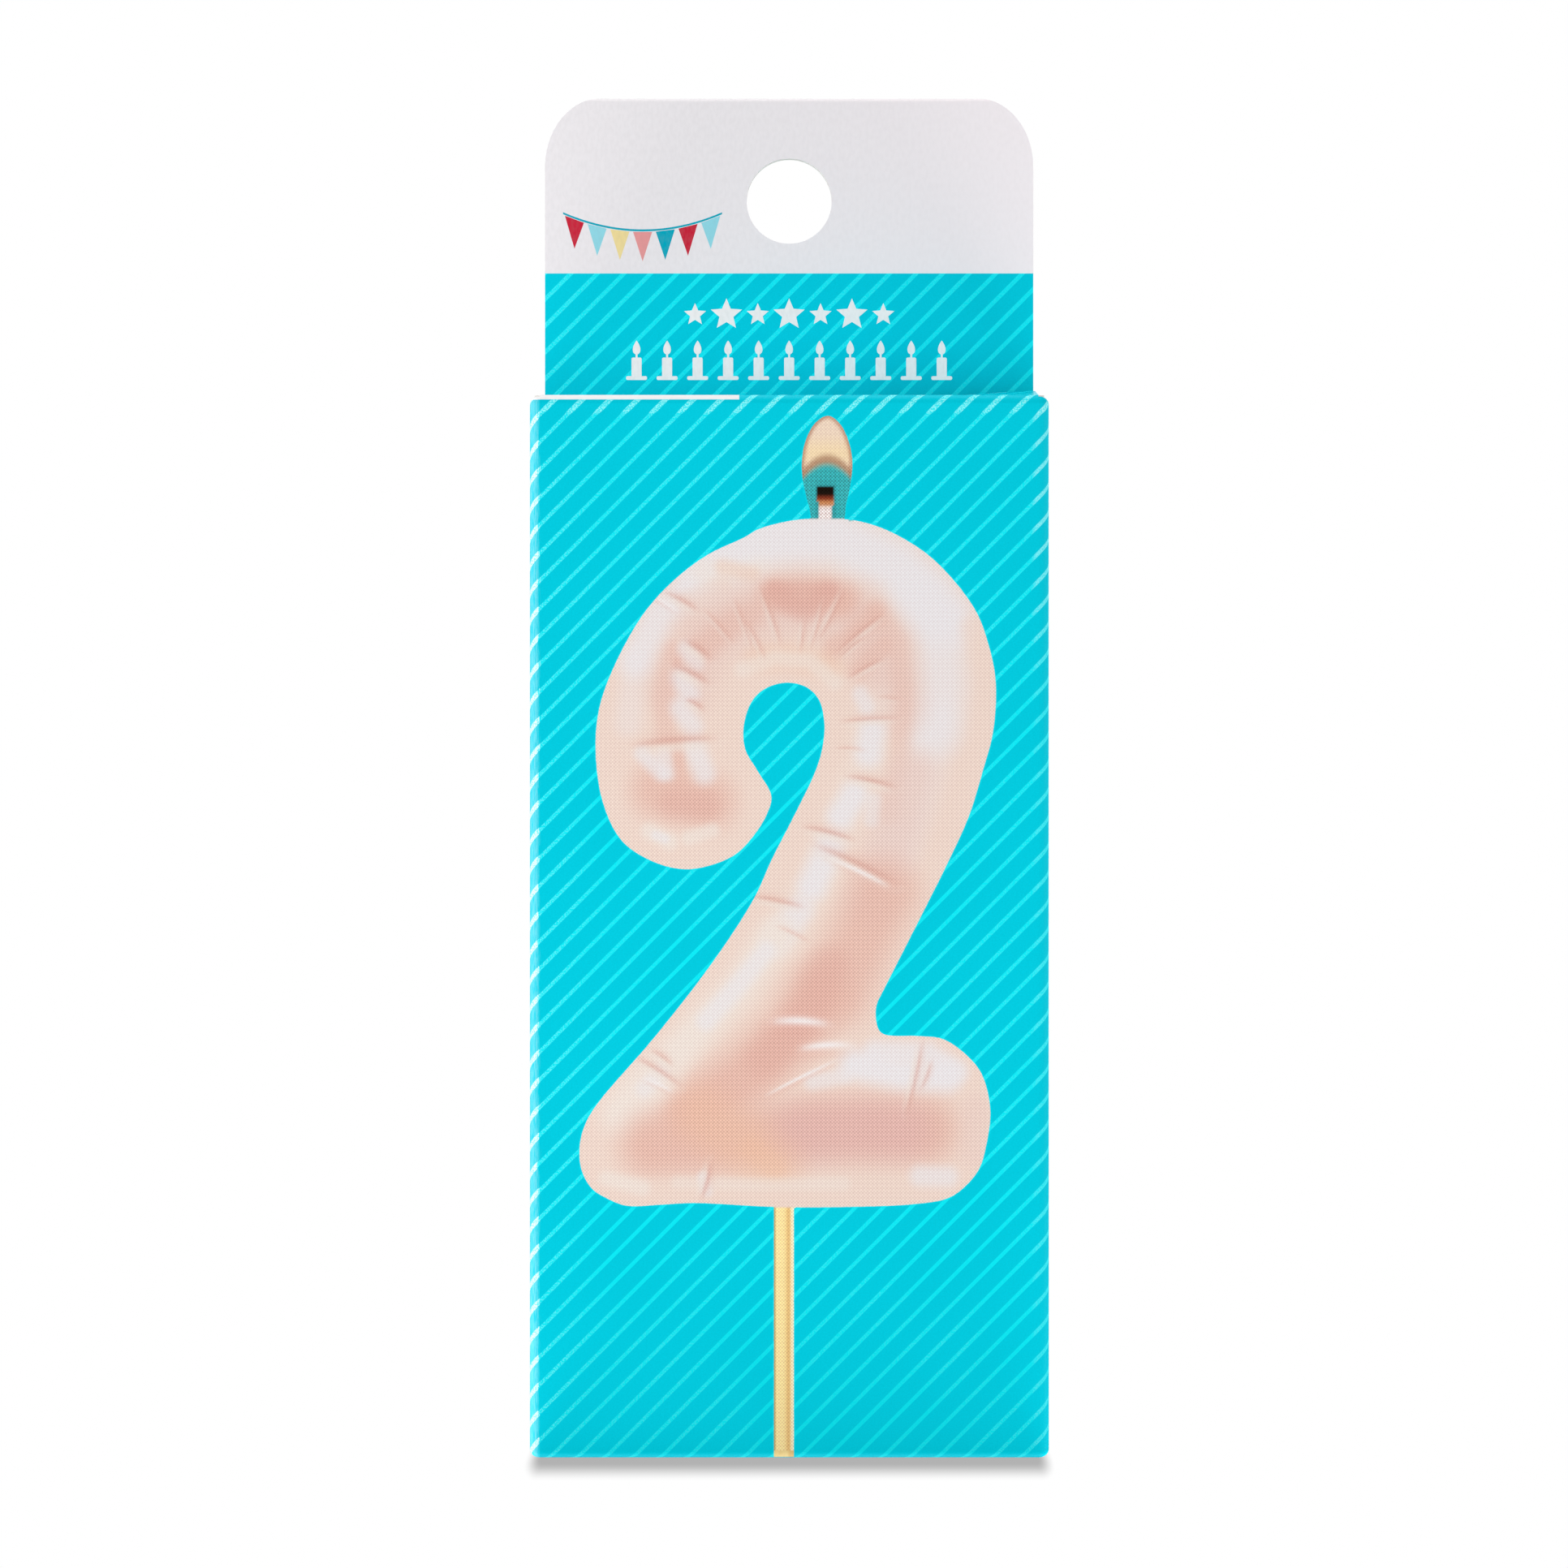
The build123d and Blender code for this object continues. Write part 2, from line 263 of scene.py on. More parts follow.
def board(name, flat, bend, materials, layers=None):
    """A piece of the sheet: a flat cut shape, bent, given its thickness and its raw edges.

    materials are the printed face, the inside, the raw edge, and then any inks.
    """
    uv, faces, inks, inner = flat
    u, v = uv[:, 0], uv[:, 1]
    outer = bend(u, v)
    nudge = 0.02
    across = bend(u + nudge, v) - bend(u - nudge, v)
    up = bend(u, v + nudge) - bend(u, v - nudge)
    normal = np.cross(across, up)
    normal /= np.linalg.norm(normal, axis=1)[:, None]
    count = len(uv)
    points = np.concatenate([outer, outer - BOARD * normal])
    edges = {(a, b) for f in faces for a, b in zip(f, f[1:] + f[:1])}
    rim = [(a, b) for a, b in sorted(edges) if (b, a) not in edges]
    back = [[count + i for i in reversed(f)] for f in (inner or faces)]
    sides = [[b, a, count + a, count + b] for a, b in rim]
    corners = [normal[np.concatenate(faces)], -normal[np.concatenate(back) - count]]
    quads = points[np.array(sides)]
    edge_normal = np.cross(quads[:, 1] - quads[:, 0], quads[:, 3] - quads[:, 0])
    edge_normal /= np.maximum(np.linalg.norm(edge_normal, axis=1), 1e-9)[:, None]
    corners.append(np.repeat(edge_normal, 4, axis=0))
    indices = [2 + k if k else 0 for k in inks] + [1] * len(back) + [2] * len(sides)
    sheet = np.concatenate([np.stack([u, v, np.zeros(count)], -1), np.stack([u, v, np.ones(count)], -1)])
    named = {"sheet": sheet}
    for layer, values in (layers or {}).items():
        named[layer] = np.concatenate([values, values])
    normals = np.concatenate(corners).tolist()
    return loops_to_mesh(name, points, faces + back + sides, materials, indices, normals, named)


def counterclockwise(loop):
    """The loop's points, in anticlockwise order."""
    p = np.array(loop)
    area = np.sum(p[:, 0] * np.roll(p[:, 1], -1) - p[:, 1] * np.roll(p[:, 0], -1))
    return [tuple(q) for q in (p if area > 0 else p[::-1])]


def cut(outline, holes=(), prints=(), u_lines=(), v_lines=()):
    """A flat shape for board(): triangles within an outline, cut along lines and prints.

    prints are (ink number, loop) pairs. u_lines and v_lines are where it is divided to bend.
    """
    points, edges, faces = [], [], []
    for loop in [outline, *holes, *[loop for _, loop in prints]]:
        first = len(points)
        points += [Vector(p) for p in counterclockwise(loop)]
        faces.append(list(range(first, len(points))))
    low = np.min(outline, axis=0) - 1
    high = np.max(outline, axis=0) + 1
    ends = [((u, low[1]), (u, high[1])) for u in u_lines] + [((low[0], v), (high[0], v)) for v in v_lines]
    for a, b in ends:
        edges.append((len(points), len(points) + 1))
        points += [Vector(a), Vector(b)]
    verts, _, tris, _, _, origins = geometry.delaunay_2d_cdt(points, edges, faces, 1, 1e-5, True)
    kept, inks = [], []
    for tri, origin in zip(tris, origins):
        if 0 not in origin or any(1 <= i <= len(holes) for i in origin):
            continue
        marks = [i for i in origin if i > len(holes)]
        kept.append(list(tri))
        inks.append(prints[max(marks) - len(holes) - 1][0] if marks else 0)
    used = sorted({i for f in kept for i in f})
    index = {old: new for new, old in enumerate(used)}
    uv = np.array([verts[i] for i in used])
    return uv, [[index[i] for i in f] for f in kept], inks, None


def grid(us, vs, shape=lambda u, v: v, flat_columns=None):
    """A flat shape for board(): quads between u and v lines, with v moved by shape(u, v).

    Between the two flat_columns the inside is one face, as nothing there needs its points.
    """
    columns, rows = len(us), len(vs)
    u, v = np.meshgrid(us, vs, indexing="ij")
    uv = np.stack([u, shape(u, v)], -1).reshape(-1, 2)
    quads = [
        [i * rows + j, (i + 1) * rows + j, (i + 1) * rows + j + 1, i * rows + j + 1]
        for i in range(columns - 1)
        for j in range(rows - 1)
    ]
    inner = None
    if flat_columns:
        a, b = flat_columns
        ring = [i * rows for i in range(a, b)] + [b * rows + j for j in range(rows - 1)]
        ring += [i * rows + rows - 1 for i in range(b, a, -1)]
        ring += [a * rows + j for j in range(rows - 1, 0, -1)]
        outside = [q for q in quads if not a <= q[0] // rows < b]
        inner = outside + [ring]
    return uv, quads, [0] * len(quads), inner


def joined(*flats):
    """Several flat shapes as one, sharing the points that they have in common."""
    points, faces, inner, count = [], [], [], 0
    for uv, quads, _, back in flats:
        points.append(uv)
        faces += [[i + count for i in f] for f in quads]
        inner += [[i + count for i in f] for f in back or quads]
        count += len(uv)
    every = np.concatenate(points)
    _, first, index = np.unique(np.round(every, 6), axis=0, return_index=True, return_inverse=True)
    index = index.ravel()

    def renumber(f):
        f = [int(index[i]) for i in f]
        return [a for a, b in zip(f, f[1:] + f[:1]) if a != b]

    faces = [f for f in map(renumber, faces) if len(f) > 2]
    inner = [f for f in map(renumber, inner) if len(f) > 2]
    return every[first], faces, [0] * len(faces), inner


def rounded(points, radii, steps=8):
    """A closed outline with its corners rounded, each by its own radius, 0 for sharp."""
    out, count = [], len(points)
    for i, radius in enumerate(radii):
        before, here, after = (np.array(points[(i + k) % count], float) for k in (-1, 0, 1))
        if not radius:
            out.append(tuple(here))
            continue
        a, b = before - here, after - here
        a, b = a / np.linalg.norm(a), b / np.linalg.norm(b)
        half = np.arccos(np.clip(a @ b, -1, 1)) / 2
        centre = here + (a + b) / np.linalg.norm(a + b) * radius / sin(half)
        start = here + a * radius / np.tan(half) - centre
        end = here + b * radius / np.tan(half) - centre
        angle = np.arccos(np.clip(start @ end / radius**2, -1, 1))
        for k in range(steps + 1):
            t = k / steps
            out.append(tuple(centre + (sin((1 - t) * angle) * start + sin(t * angle) * end) / sin(angle)))
    return out


def rectangle(left, bottom, right, top, radius=0.0):
    points = [(left, bottom), (right, bottom), (right, top), (left, top)]
    return rounded(points, [radius] * 4) if radius else points


def hang_hole():
    """The hole's outline on the front ply and the back alike."""
    turns = [2 * pi * k / HOLE_STEPS for k in range(HOLE_STEPS)]
    return [(HOLE_R * cos(turn), HOLE_Z + HOLE_R * sin(turn)) for turn in turns]


# ---------------------------------------------------------------- materials


def ink(r, g, b):
    """A colour as it looks on the print, 0 to 255, as linear light."""
    c = np.array([r, g, b]) / 255
    return (*np.where(c <= 0.04045, c / 12.92, ((c + 0.055) / 1.055) ** 2.4), 1.0)


CYAN = ink(1, 201, 221)
STRIPE = ink(6, 230, 242)
STRIPE_FLECK = ink(130, 246, 250)
# The pale colour of rubbed folds, which also serves as the painted highlight on the left fold
FOLD_FLECK_AND_HIGHLIGHT = ink(222, 252, 253)
OFF_WHITE = ink(225, 224, 226)
INSIDE = ink(232, 229, 222)
RAW_EDGE = ink(236, 234, 228)

BLANK_X = (-29.5, -5.6)  # the unprinted part of the top lid
BLANK_START = 0.5  # how far over the fold it begins
STRIPE_PITCH = 3.09  # across, and up
STRIPE_PHASE = 2.1
STRIPE_HALF = 0.215
STRIPE_SOFT = 0.035  # half the width of a stripe's soft edge
HALFTONE = 0.36  # the pitch of the picture's dots
PRINT_SHINE = 0.03


class Look:
    """A procedural material, built from helpers that each return a socket."""

    def __init__(self, name, **values):
        self.material = bpy.data.materials.new(name)
        self.material.use_nodes = True
        self.tree = self.material.node_tree
        self.shader = self.tree.nodes["Principled BSDF"]
        for socket, value in values.items():
            self.set(socket.replace("_", " "), value)

    def set(self, socket, value):
        """Sets or links one input of the shader, by its name in any case."""
        target = next(s for s in self.shader.inputs if s.name.lower() == socket.lower())
        self.feed(target, value)

    def feed(self, target, value):
        if isinstance(value, bpy.types.NodeSocket):
            self.tree.links.new(value, target)
        else:
            target.default_value = value

    def node(self, kind, *values, **settings):
        node = self.tree.nodes.new(kind)
        for key, value in settings.items():
            setattr(node, key, value)
        for target, value in zip(node.inputs, values):
            self.feed(target, value)
        return node

    def attribute(self, name):
        return self.node("ShaderNodeAttribute", attribute_name=name)

    def math(self, operation, *values, clamp=False):
        return self.node("ShaderNodeMath", *values, operation=operation, use_clamp=clamp).outputs[0]

    def times(self, *values):
        return reduce(partial(self.math, "MULTIPLY"), values)

    def plus(self, *values):
        return reduce(partial(self.math, "ADD"), values)

    def minus(self, a, b):
        return self.math("SUBTRACT", a, b)

    def most(self, *values):
        return reduce(partial(self.math, "MAXIMUM"), values)

    def size(self, value):
        return self.math("ABSOLUTE", value)

    def jitter(self, value, noise, amount):
        """A value moved to and fro by a noise, by up to about half the amount."""
        return self.plus(value, self.times(self.minus(noise, 0.5), amount))

    def scaled(self, colour, share):
        node = self.node("ShaderNodeVectorMath", colour, operation="SCALE")
        self.feed(node.inputs["Scale"], share)
        return node.outputs[0]

    def mix(self, factor, a, b):
        node = self.node("ShaderNodeMix", data_type="RGBA", blend_type="MIX")
        for index, value in ((0, factor), (6, a), (7, b)):
            self.feed(node.inputs[index], value)
        return node.outputs[2]

    def ramp(self, value, low, high, out_low=0.0, out_high=1.0):
        """Maps low to high smoothly onto out_low to out_high."""
        node = self.node(
            "ShaderNodeMapRange", value, low, high, out_low, out_high, interpolation_type="SMOOTHSTEP"
        )
        return node.outputs[0]

    def noise(self, vector, scale, detail=2.0, stretch=None):
        """Noise from 0 to 1, with so many cells to a unit of the vector."""
        if stretch:
            vector = self.node("ShaderNodeVectorMath", vector, stretch, operation="MULTIPLY").outputs[0]
        node = self.node("ShaderNodeTexNoise")
        self.feed(node.inputs["Vector"], vector)
        self.feed(node.inputs["Scale"], scale)
        self.feed(node.inputs["Detail"], detail)
        return node.outputs["Fac"]

    def bump(self, height, distance_mm):
        node = self.node("ShaderNodeBump")
        node.inputs["Strength"].default_value = 1.0
        node.inputs["Distance"].default_value = distance_mm * MM
        self.feed(node.inputs["Height"], height)
        self.set("Normal", node.outputs[0])

    def separate(self, vector):
        return self.node("ShaderNodeSeparateXYZ", vector).outputs

    def millimetres(self):
        """The point in millimetres, in the piece's own frame."""
        place = self.node("ShaderNodeTexCoord").outputs["Object"]
        return self.node("ShaderNodeVectorMath", place, (1 / MM,) * 3, operation="MULTIPLY").outputs[0]


def print_look(name):
    """A printed face's material so far, and the sheet coordinates that its pattern follows."""
    look = Look(name, Specular_IOR_Level=PRINT_SHINE)
    return look, look.attribute("sheet").outputs["Vector"]


def paper_surface(look, sheet):
    """Coated board: short fibres under the print, and a gentle unevenness in the sheen."""
    fibres = look.noise(sheet, 2.6, 3.0, (1.0, 0.45, 1.0))
    grain = look.noise(sheet, 9.0, 1.0)
    look.bump(look.plus(look.times(fibres, 0.7), look.times(grain, 0.3)), 0.012)
    look.set("Roughness", look.ramp(fibres, 0.3, 0.7, 0.25, 0.35))
    return fibres


def on_paper(look, sheet, colour):
    look.set("Base Color", colour)
    paper_surface(look, sheet)
    return look.material


def rubbed_folds_and_left_highlight(look, u, v, streaks):
    """How far the print is rubbed away and lit by a painted highlight on the left fold, and how creased it is
    on every fold, 0 to 1.
    """
    ragged = look.jitter(u, streaks, 1.3)
    # worn: the left fold's lightening, partly rubbed print and partly a painted highlight of the light from
    # the left
    worn = look.times(look.ramp(ragged, -FLAT_X, -FLAT_X - 0.35), look.ramp(u, LEFT_U - 0.4, LEFT_U + 0.1))
    worn = look.times(worn, look.ramp(v, TOP_V + 1.5, TOP_V + 1.0))
    fold = look.times(look.attribute("crease").outputs["Fac"], look.ramp(v, 20.0, 40.0))
    top = look.ramp(look.size(look.minus(v, TOP_V)), 1.35, 0.7)
    top = look.times(top, look.ramp(look.size(u), SIDE + 0.4, SIDE))
    return worn, look.most(worn, fold, top)


def striped(look, sheet, half=STRIPE_HALF, chalk=1.0):
    """The cyan print: a ground with thin 45 degree stripes of broken, chalky ink."""
    u, v, _ = look.separate(sheet)
    fibres = look.noise(sheet, 2.6, 3.0, (1.0, 0.45, 1.0))
    flecks = look.noise(sheet, 5.5, 2.0)
    blotch = look.noise(sheet, 0.06, 1.0)
    streaks = look.noise(sheet, 1.0, 3.0, (7.0, 0.6, 1.0))
    worn, crease = rubbed_folds_and_left_highlight(look, u, v, streaks)

    turn = look.math("DIVIDE", look.minus(look.minus(v, u), STRIPE_PHASE), STRIPE_PITCH)
    off = look.times(look.size(look.minus(turn, look.math("ROUND", turn))), STRIPE_PITCH / sqrt(2))
    ragged = look.minus(look.jitter(off, flecks, 0.09), look.times(crease, 0.07))
    line = look.ramp(ragged, half + STRIPE_SOFT, half - STRIPE_SOFT)

    # shade: random unevenness of the ink, plus painted light that makes the print up to 8.5% lighter towards
    # the bottom, to offset the shade there
    shade = look.plus(
        look.ramp(flecks, 0.25, 0.75, 0.965, 1.035),
        look.ramp(blotch, 0.3, 0.7, -0.012, 0.012),
        look.ramp(v, 34.0, 0.0, 0.0, 0.085),
    )
    # On the left fold the ground turns pale: partly rubbed print, partly a painted highlight
    ground = look.mix(look.times(worn, look.ramp(streaks, 0.35, 0.6, 0.03, 0.18)), CYAN, FOLD_FLECK_AND_HIGHLIGHT)

    chalky = look.plus(
        look.ramp(blotch, 0.35, 0.65, 0.02, 0.16),
        look.times(crease, 0.9),
        look.ramp(u, -20.0, -29.0, 0.0, 0.35),
        look.ramp(v, 70.0, 117.0, 0.0, 0.16),
    )
    bright = look.math("MULTIPLY", look.ramp(flecks, 0.44, 0.6), look.times(chalky, chalk), clamp=True)
    right_fold = look.times(
        look.ramp(u, FLAT_X - 0.9, FLAT_X - 0.1),
        look.ramp(v, TOP_V + 1.5, TOP_V + 1.0),
        look.ramp(v, 84.0, 104.0, 0.06, 0.3),
        look.ramp(u, RIGHT_U + 0.6, RIGHT_U - 0.2),
    )
    whitened = look.most(worn, right_fold, look.times(crease, 0.1))
    whitened = look.times(whitened, look.ramp(flecks, 0.36, 0.54, 0.3, 0.95), chalk)
    stripe = look.mix(whitened, look.mix(bright, STRIPE, STRIPE_FLECK), FOLD_FLECK_AND_HIGHLIGHT)
    return look.mix(line, look.scaled(ground, shade), stripe), fibres, flecks


def blank_lid(look, sheet, colour):
    """Leaves the print off where the top lid's unprinted part begins, on its fold."""
    u, v, _ = look.separate(sheet)
    start = TOP_V + BLANK_START
    left = look.ramp(u, BLANK_X[1] + 0.04, BLANK_X[1] - 0.04)
    return look.mix(look.times(left, look.ramp(v, start - 0.04, start + 0.04)), colour, ink(238, 236, 237))


def printed_board():
    look, sheet = print_look("printed_board")
    colour, _, _ = striped(look, sheet)
    return on_paper(look, sheet, colour)


def dot_screen(look, u, v, pitch, join):
    """Waves across and up the sheet, joined by one operation into a screen of dots."""
    waves = [look.math("SINE", look.times(c, 2 * pi / pitch)) for c in (u, v)]
    return look.math(join, *waves)


def printed_front():
    """The front's print: stripes, and the picture painted on its points within a crisp outline."""
    look, sheet = print_look("printed_front")
    ground, fibres, flecks = striped(look, sheet)
    inside = look.attribute("inside").outputs["Fac"]
    picture = look.attribute("picture").outputs["Color"]
    dots = look.attribute("dots").outputs["Fac"]
    u, v, _ = look.separate(sheet)
    fine = dot_screen(look, u, v, HALFTONE, "MULTIPLY")
    coarse = dot_screen(look, u, v, 1.45 * HALFTONE, "ADD")
    screen = look.plus(fine, look.times(coarse, 0.16))
    tone = look.plus(look.times(screen, dots), look.ramp(flecks, 0.2, 0.8, -0.045, 0.045))
    tints = [look.plus(look.times(tone, share), 1.0) for share in (0.7, 1.0, 1.0)]
    weave = look.node("ShaderNodeCombineXYZ", *tints).outputs[0]
    toned = look.node("ShaderNodeVectorMath", picture, weave, operation="MULTIPLY")
    ragged = look.jitter(inside, fibres, 0.06)
    rim = look.times(look.ramp(ragged, -0.28, -0.1), look.ramp(flecks, 0.4, 0.7, 0.15, 0.6))
    ground = look.mix(rim, ground, STRIPE)
    colour = look.mix(look.ramp(ragged, -0.035, 0.035), ground, toned.outputs[0])
    return on_paper(look, sheet, blank_lid(look, sheet, colour))


def printed_tab(name, band_v):
    """The hang tab's print: pale grey above, and the striped band below band_v."""
    look, sheet = print_look(name)
    colour, fibres, _ = striped(look, sheet, 0.25, 0.45)
    u, v, _ = look.separate(sheet)
    right = look.ramp(u, -15.0, 28.0)
    # foot: painted shade along the band's foot, where the lid keeps light off, deeper towards the right where
    # the lid's corner stands up. Apart from that the band's print is a little paler to the left
    foot = look.times(look.ramp(v, band_v - 6.4, band_v - 13.6), look.ramp(right, 0.0, 1.0, 0.06, 0.13))
    ink_density_and_painted_shade = look.times(look.ramp(right, 0.0, 1.0, 1.07, 1.02), look.minus(1.0, foot))
    grey = look.mix(look.ramp(fibres, 0.3, 0.7), ink(239, 235, 238), ink(243, 239, 242))
    # Painted warmer towards the right, against the cyan light that the lid bounces onto the grey
    grey = look.mix(look.times(right, 0.45), grey, ink(254, 244, 248))
    above = look.ramp(v, band_v - 0.03, band_v + 0.03)
    return on_paper(look, sheet, look.mix(above, look.scaled(colour, ink_density_and_painted_shade), grey))


def flat_ink(name, colour):
    """One ink on the board, slightly uneven."""
    look, sheet = print_look(name)
    fibres = paper_surface(look, sheet)
    worn = tuple(0.9 * c + 0.03 for c in colour[:3]) + (1.0,)
    look.set("Base Color", look.mix(look.ramp(fibres, 0.3, 0.75), colour, worn))
    return look.material


def plain_board(name="plain_board", colour=INSIDE):
    """The board's unprinted inside: matt, with short grey fibres."""
    look = Look(name, Specular_IOR_Level=0.2)
    place = look.millimetres()
    fibres = look.noise(place, 3.2, 4.0, (0.5, 1.0, 1.0))
    specks = look.noise(place, 1.1, 5.0)
    tint = look.mix(look.ramp(specks, 0.62, 0.72, 0.0, 0.35), colour, ink(196, 190, 178))
    darker = tuple(0.88 * c for c in colour[:3]) + (1.0,)
    look.set("Base Color", look.mix(look.ramp(fibres, 0.3, 0.7), darker, tint))
    look.set("Roughness", 0.85)
    look.bump(fibres, 0.03)
    return look.material


def glue_film():
    look = Look("dried_glue", Roughness=0.35, Specular_IOR_Level=0.5)
    place = look.millimetres()
    runs = look.noise(place, 0.5, 2.0, (1.0, 1.0, 0.2))
    look.set("Base Color", look.mix(look.ramp(runs, 0.3, 0.7), ink(226, 219, 196), ink(238, 233, 217)))
    look.bump(runs, 0.02)
    return look.material


def pearl_wax():
    """Pale pink pearl wax, with a faint drift of colour, painted glints, painted shade in its creases, and a
    soft shine under a clear skin.
    """
    look = Look(
        "pearl_wax",
        Roughness=0.34,
        Specular_IOR_Level=0.5,
        Coat_Weight=0.45,
        Coat_Roughness=0.16,
        Subsurface_Weight=0.18,
        Subsurface_Scale=0.002,
        Sheen_Weight=0.25,
        Sheen_Roughness=0.4,
        Sheen_Tint=(1.0, 0.86, 0.93, 1.0),
    )
    look.set("Subsurface Radius", (1.0, 0.6, 0.45))
    place = look.millimetres()
    drift = look.noise(place, 0.07, 2.0)
    pearl = look.noise(place, 4.0, 2.0)
    fold = look.attribute("fold").outputs["Fac"]
    warm = look.mix(look.ramp(drift, 0.35, 0.65), ink(243, 206, 196), ink(240, 214, 208))
    # Lighter specks: a painted pearly glint
    painted_glint = look.mix(look.ramp(pearl, 0.55, 0.75, 0.0, 0.35), warm, ink(250, 232, 232))
    # Darker rose in the creases: painted shade
    look.set("Base Color", look.mix(look.ramp(fold, 0.1, 0.9, 0.0, 0.5), painted_glint, ink(224, 168, 154)))
    look.bump(look.plus(look.noise(place, 0.35, 3.0), look.times(pearl, 0.08)), 0.12)
    return look.material


def cotton():
    look = Look("cotton_wick", Roughness=0.9, Specular_IOR_Level=0.2, Sheen_Weight=0.4, Sheen_Roughness=0.6)
    place = look.millimetres()
    threads = look.noise(place, 5.0, 3.0, (1.0, 1.0, 0.25))
    look.set("Base Color", look.mix(look.ramp(threads, 0.3, 0.7), ink(222, 214, 200), ink(246, 242, 234)))
    look.bump(threads, 0.06)
    return look.material


def stick_wood():
    look = Look("stick_wood", Roughness=0.62, Specular_IOR_Level=0.3)
    place = look.millimetres()
    grain = look.noise(place, 2.4, 4.0, (1.0, 1.0, 0.05))
    fine = look.noise(place, 9.0, 2.0, (1.0, 1.0, 0.08))
    pale = look.mix(look.ramp(grain, 0.32, 0.68), ink(224, 182, 112), ink(246, 220, 158))
    look.set("Base Color", look.mix(look.ramp(fine, 0.62, 0.75, 0.0, 0.5), pale, ink(196, 150, 88)))
    look.bump(look.plus(grain, look.times(fine, 0.5)), 0.05)
    return look.material


# ---------------------------------------------------------------- the numeral's outline and picture

# The numeral's outline, clockwise from its top, and the dent in its crown comes last
NUMERAL = [
    (4.1, 104.8), (7.95, 104.45), (11.7, 103.1), (16.1, 100.2), (20.6, 94.8), (22.2, 90.7), (23.0, 86.5),
    (22.7, 81.0), (21.6, 76.8), (20.0, 71.6), (17.3, 65.7), (15.65, 62.4), (12.05, 55.3), (10.5, 52.25),
    (9.7, 50.5), (9.7, 48.6), (10.1, 47.6), (10.9, 47.2), (14.4, 47.1), (17.3, 46.7), (20.6, 44.1),
    (21.75, 42.1), (22.4, 38.6), (22.0, 35.25), (21.2, 32.4), (19.65, 30.4), (17.7, 29.05), (14.2, 28.4),
    (6.0, 28.05), (-1.4, 28.05), (-10.7, 28.5), (-14.5, 28.3), (-18.2, 28.2), (-20.5, 29.1),
    (-22.0, 30.1), (-23.1, 32.0), (-23.4, 34.4), (-22.9, 36.9), (-21.55, 39.35), (-15.0, 47.0),
    (-8.5, 55.4), (-3.9, 62.5), (-2.0, 66.7), (0.6, 71.8), (2.9, 76.6), (3.7, 79.3), (3.9, 82.0),
    (3.3, 84.6), (1.9, 86.0), (-0.4, 86.5), (-2.85, 85.75), (-4.25, 84.3), (-5.1, 81.6), (-4.9, 79.0),
    (-3.45, 76.5), (-2.0, 73.8), (-2.7, 71.45), (-4.1, 69.3), (-5.95, 67.4), (-8.6, 66.2), (-11.7, 65.7),
    (-15.3, 66.6), (-18.7, 68.9), (-20.8, 73.2), (-21.6, 79.0), (-21.2, 83.6), (-19.65, 88.05),
    (-16.45, 93.9), (-13.15, 97.65), (-9.2, 100.7), (-5.0, 102.7), (-3.45, 103.6), (0.5, 104.6),
]

# The creases where the balloon is gathered: their ends, and how wide each is
CREASES = [
    ((-17.3, 79.6), (-8.4, 80.3), 0.46), ((5.8, 82.2), (12.1, 82.6), 0.26),
    ((6.4, 76.1), (11.8, 74.9), 0.32), ((1.6, 70.5), (7.2, 69.0), 0.32), ((2.9, 68.4), (11.9, 64.2), 0.45),
    ((-4.6, 62.8), (1.6, 61.5), 0.3), ((-11.6, 91.2), (-8.8, 89.3), 0.4),
    ((-12.8, 88.4), (-9.0, 86.5), 0.38), ((-11.6, 84.7), (-9.5, 83.5), 0.3),
    ((10.4, 94.2), (5.2, 89.9), 0.27), ((10.4, 89.2), (6.6, 87.1), 0.25), ((6.1, 96.7), (3.3, 91.3), 0.22),
    ((3.9, 95.6), (2.4, 90.3), 0.17), ((-3.2, 97.3), (-0.9, 90.7), 0.22),
    ((-6.1, 95.8), (-4.0, 90.1), 0.19), ((-13.8, 96.6), (-10.2, 94.6), 0.3),
    ((-17.1, 44.8), (-12.1, 41.6), 0.3), ((-4.8, 93.4), (-2.7, 89.2), 0.2),
    ((-15.4, 45.6), (-13.0, 43.9), 0.26), ((14.9, 46.7), (13.1, 38.4), 0.26),
    ((15.9, 44.4), (14.6, 41.0), 0.22), ((-8.7, 33.0), (-9.8, 28.9), 0.3), ((1.7, 93.6), (1.2, 89.9), 0.18),
    ((8.3, 91.6), (5.6, 89.4), 0.2), ((-9.4, 94.6), (-6.2, 91.0), 0.2), ((9.9, 84.9), (12.4, 84.6), 0.16),
    ((5.2, 79.2), (8.4, 79.0), 0.14), ((-1.4, 59.4), (2.2, 57.6), 0.16),
]

# Bright slits in the film's shine: their ends, and how wide each is
SLITS = [
    ((-2.0, 48.75), (4.5, 48.4), 0.64), ((1.1, 45.7), (7.0, 46.1), 0.54), ((-2.6, 40.5), (5.2, 44.4), 0.22),
    ((-15.6, 96.4), (-12.4, 94.4), 0.18), ((-16.2, 42.4), (-13.0, 40.9), 0.2),
    ((4.6, 66.9), (10.9, 63.9), 0.26),
]

# The picture's tints, from 0 to 255, as they look on the print
WHITE, CREAM, PEACH = (231, 226, 228), (235, 222, 213), (234, 211, 199)
PINK, ROSE, DEEP, AMBER = (229, 200, 191), (226, 182, 168), (219, 168, 156), (234, 188, 160)
BLUSH = (220, 175, 172)

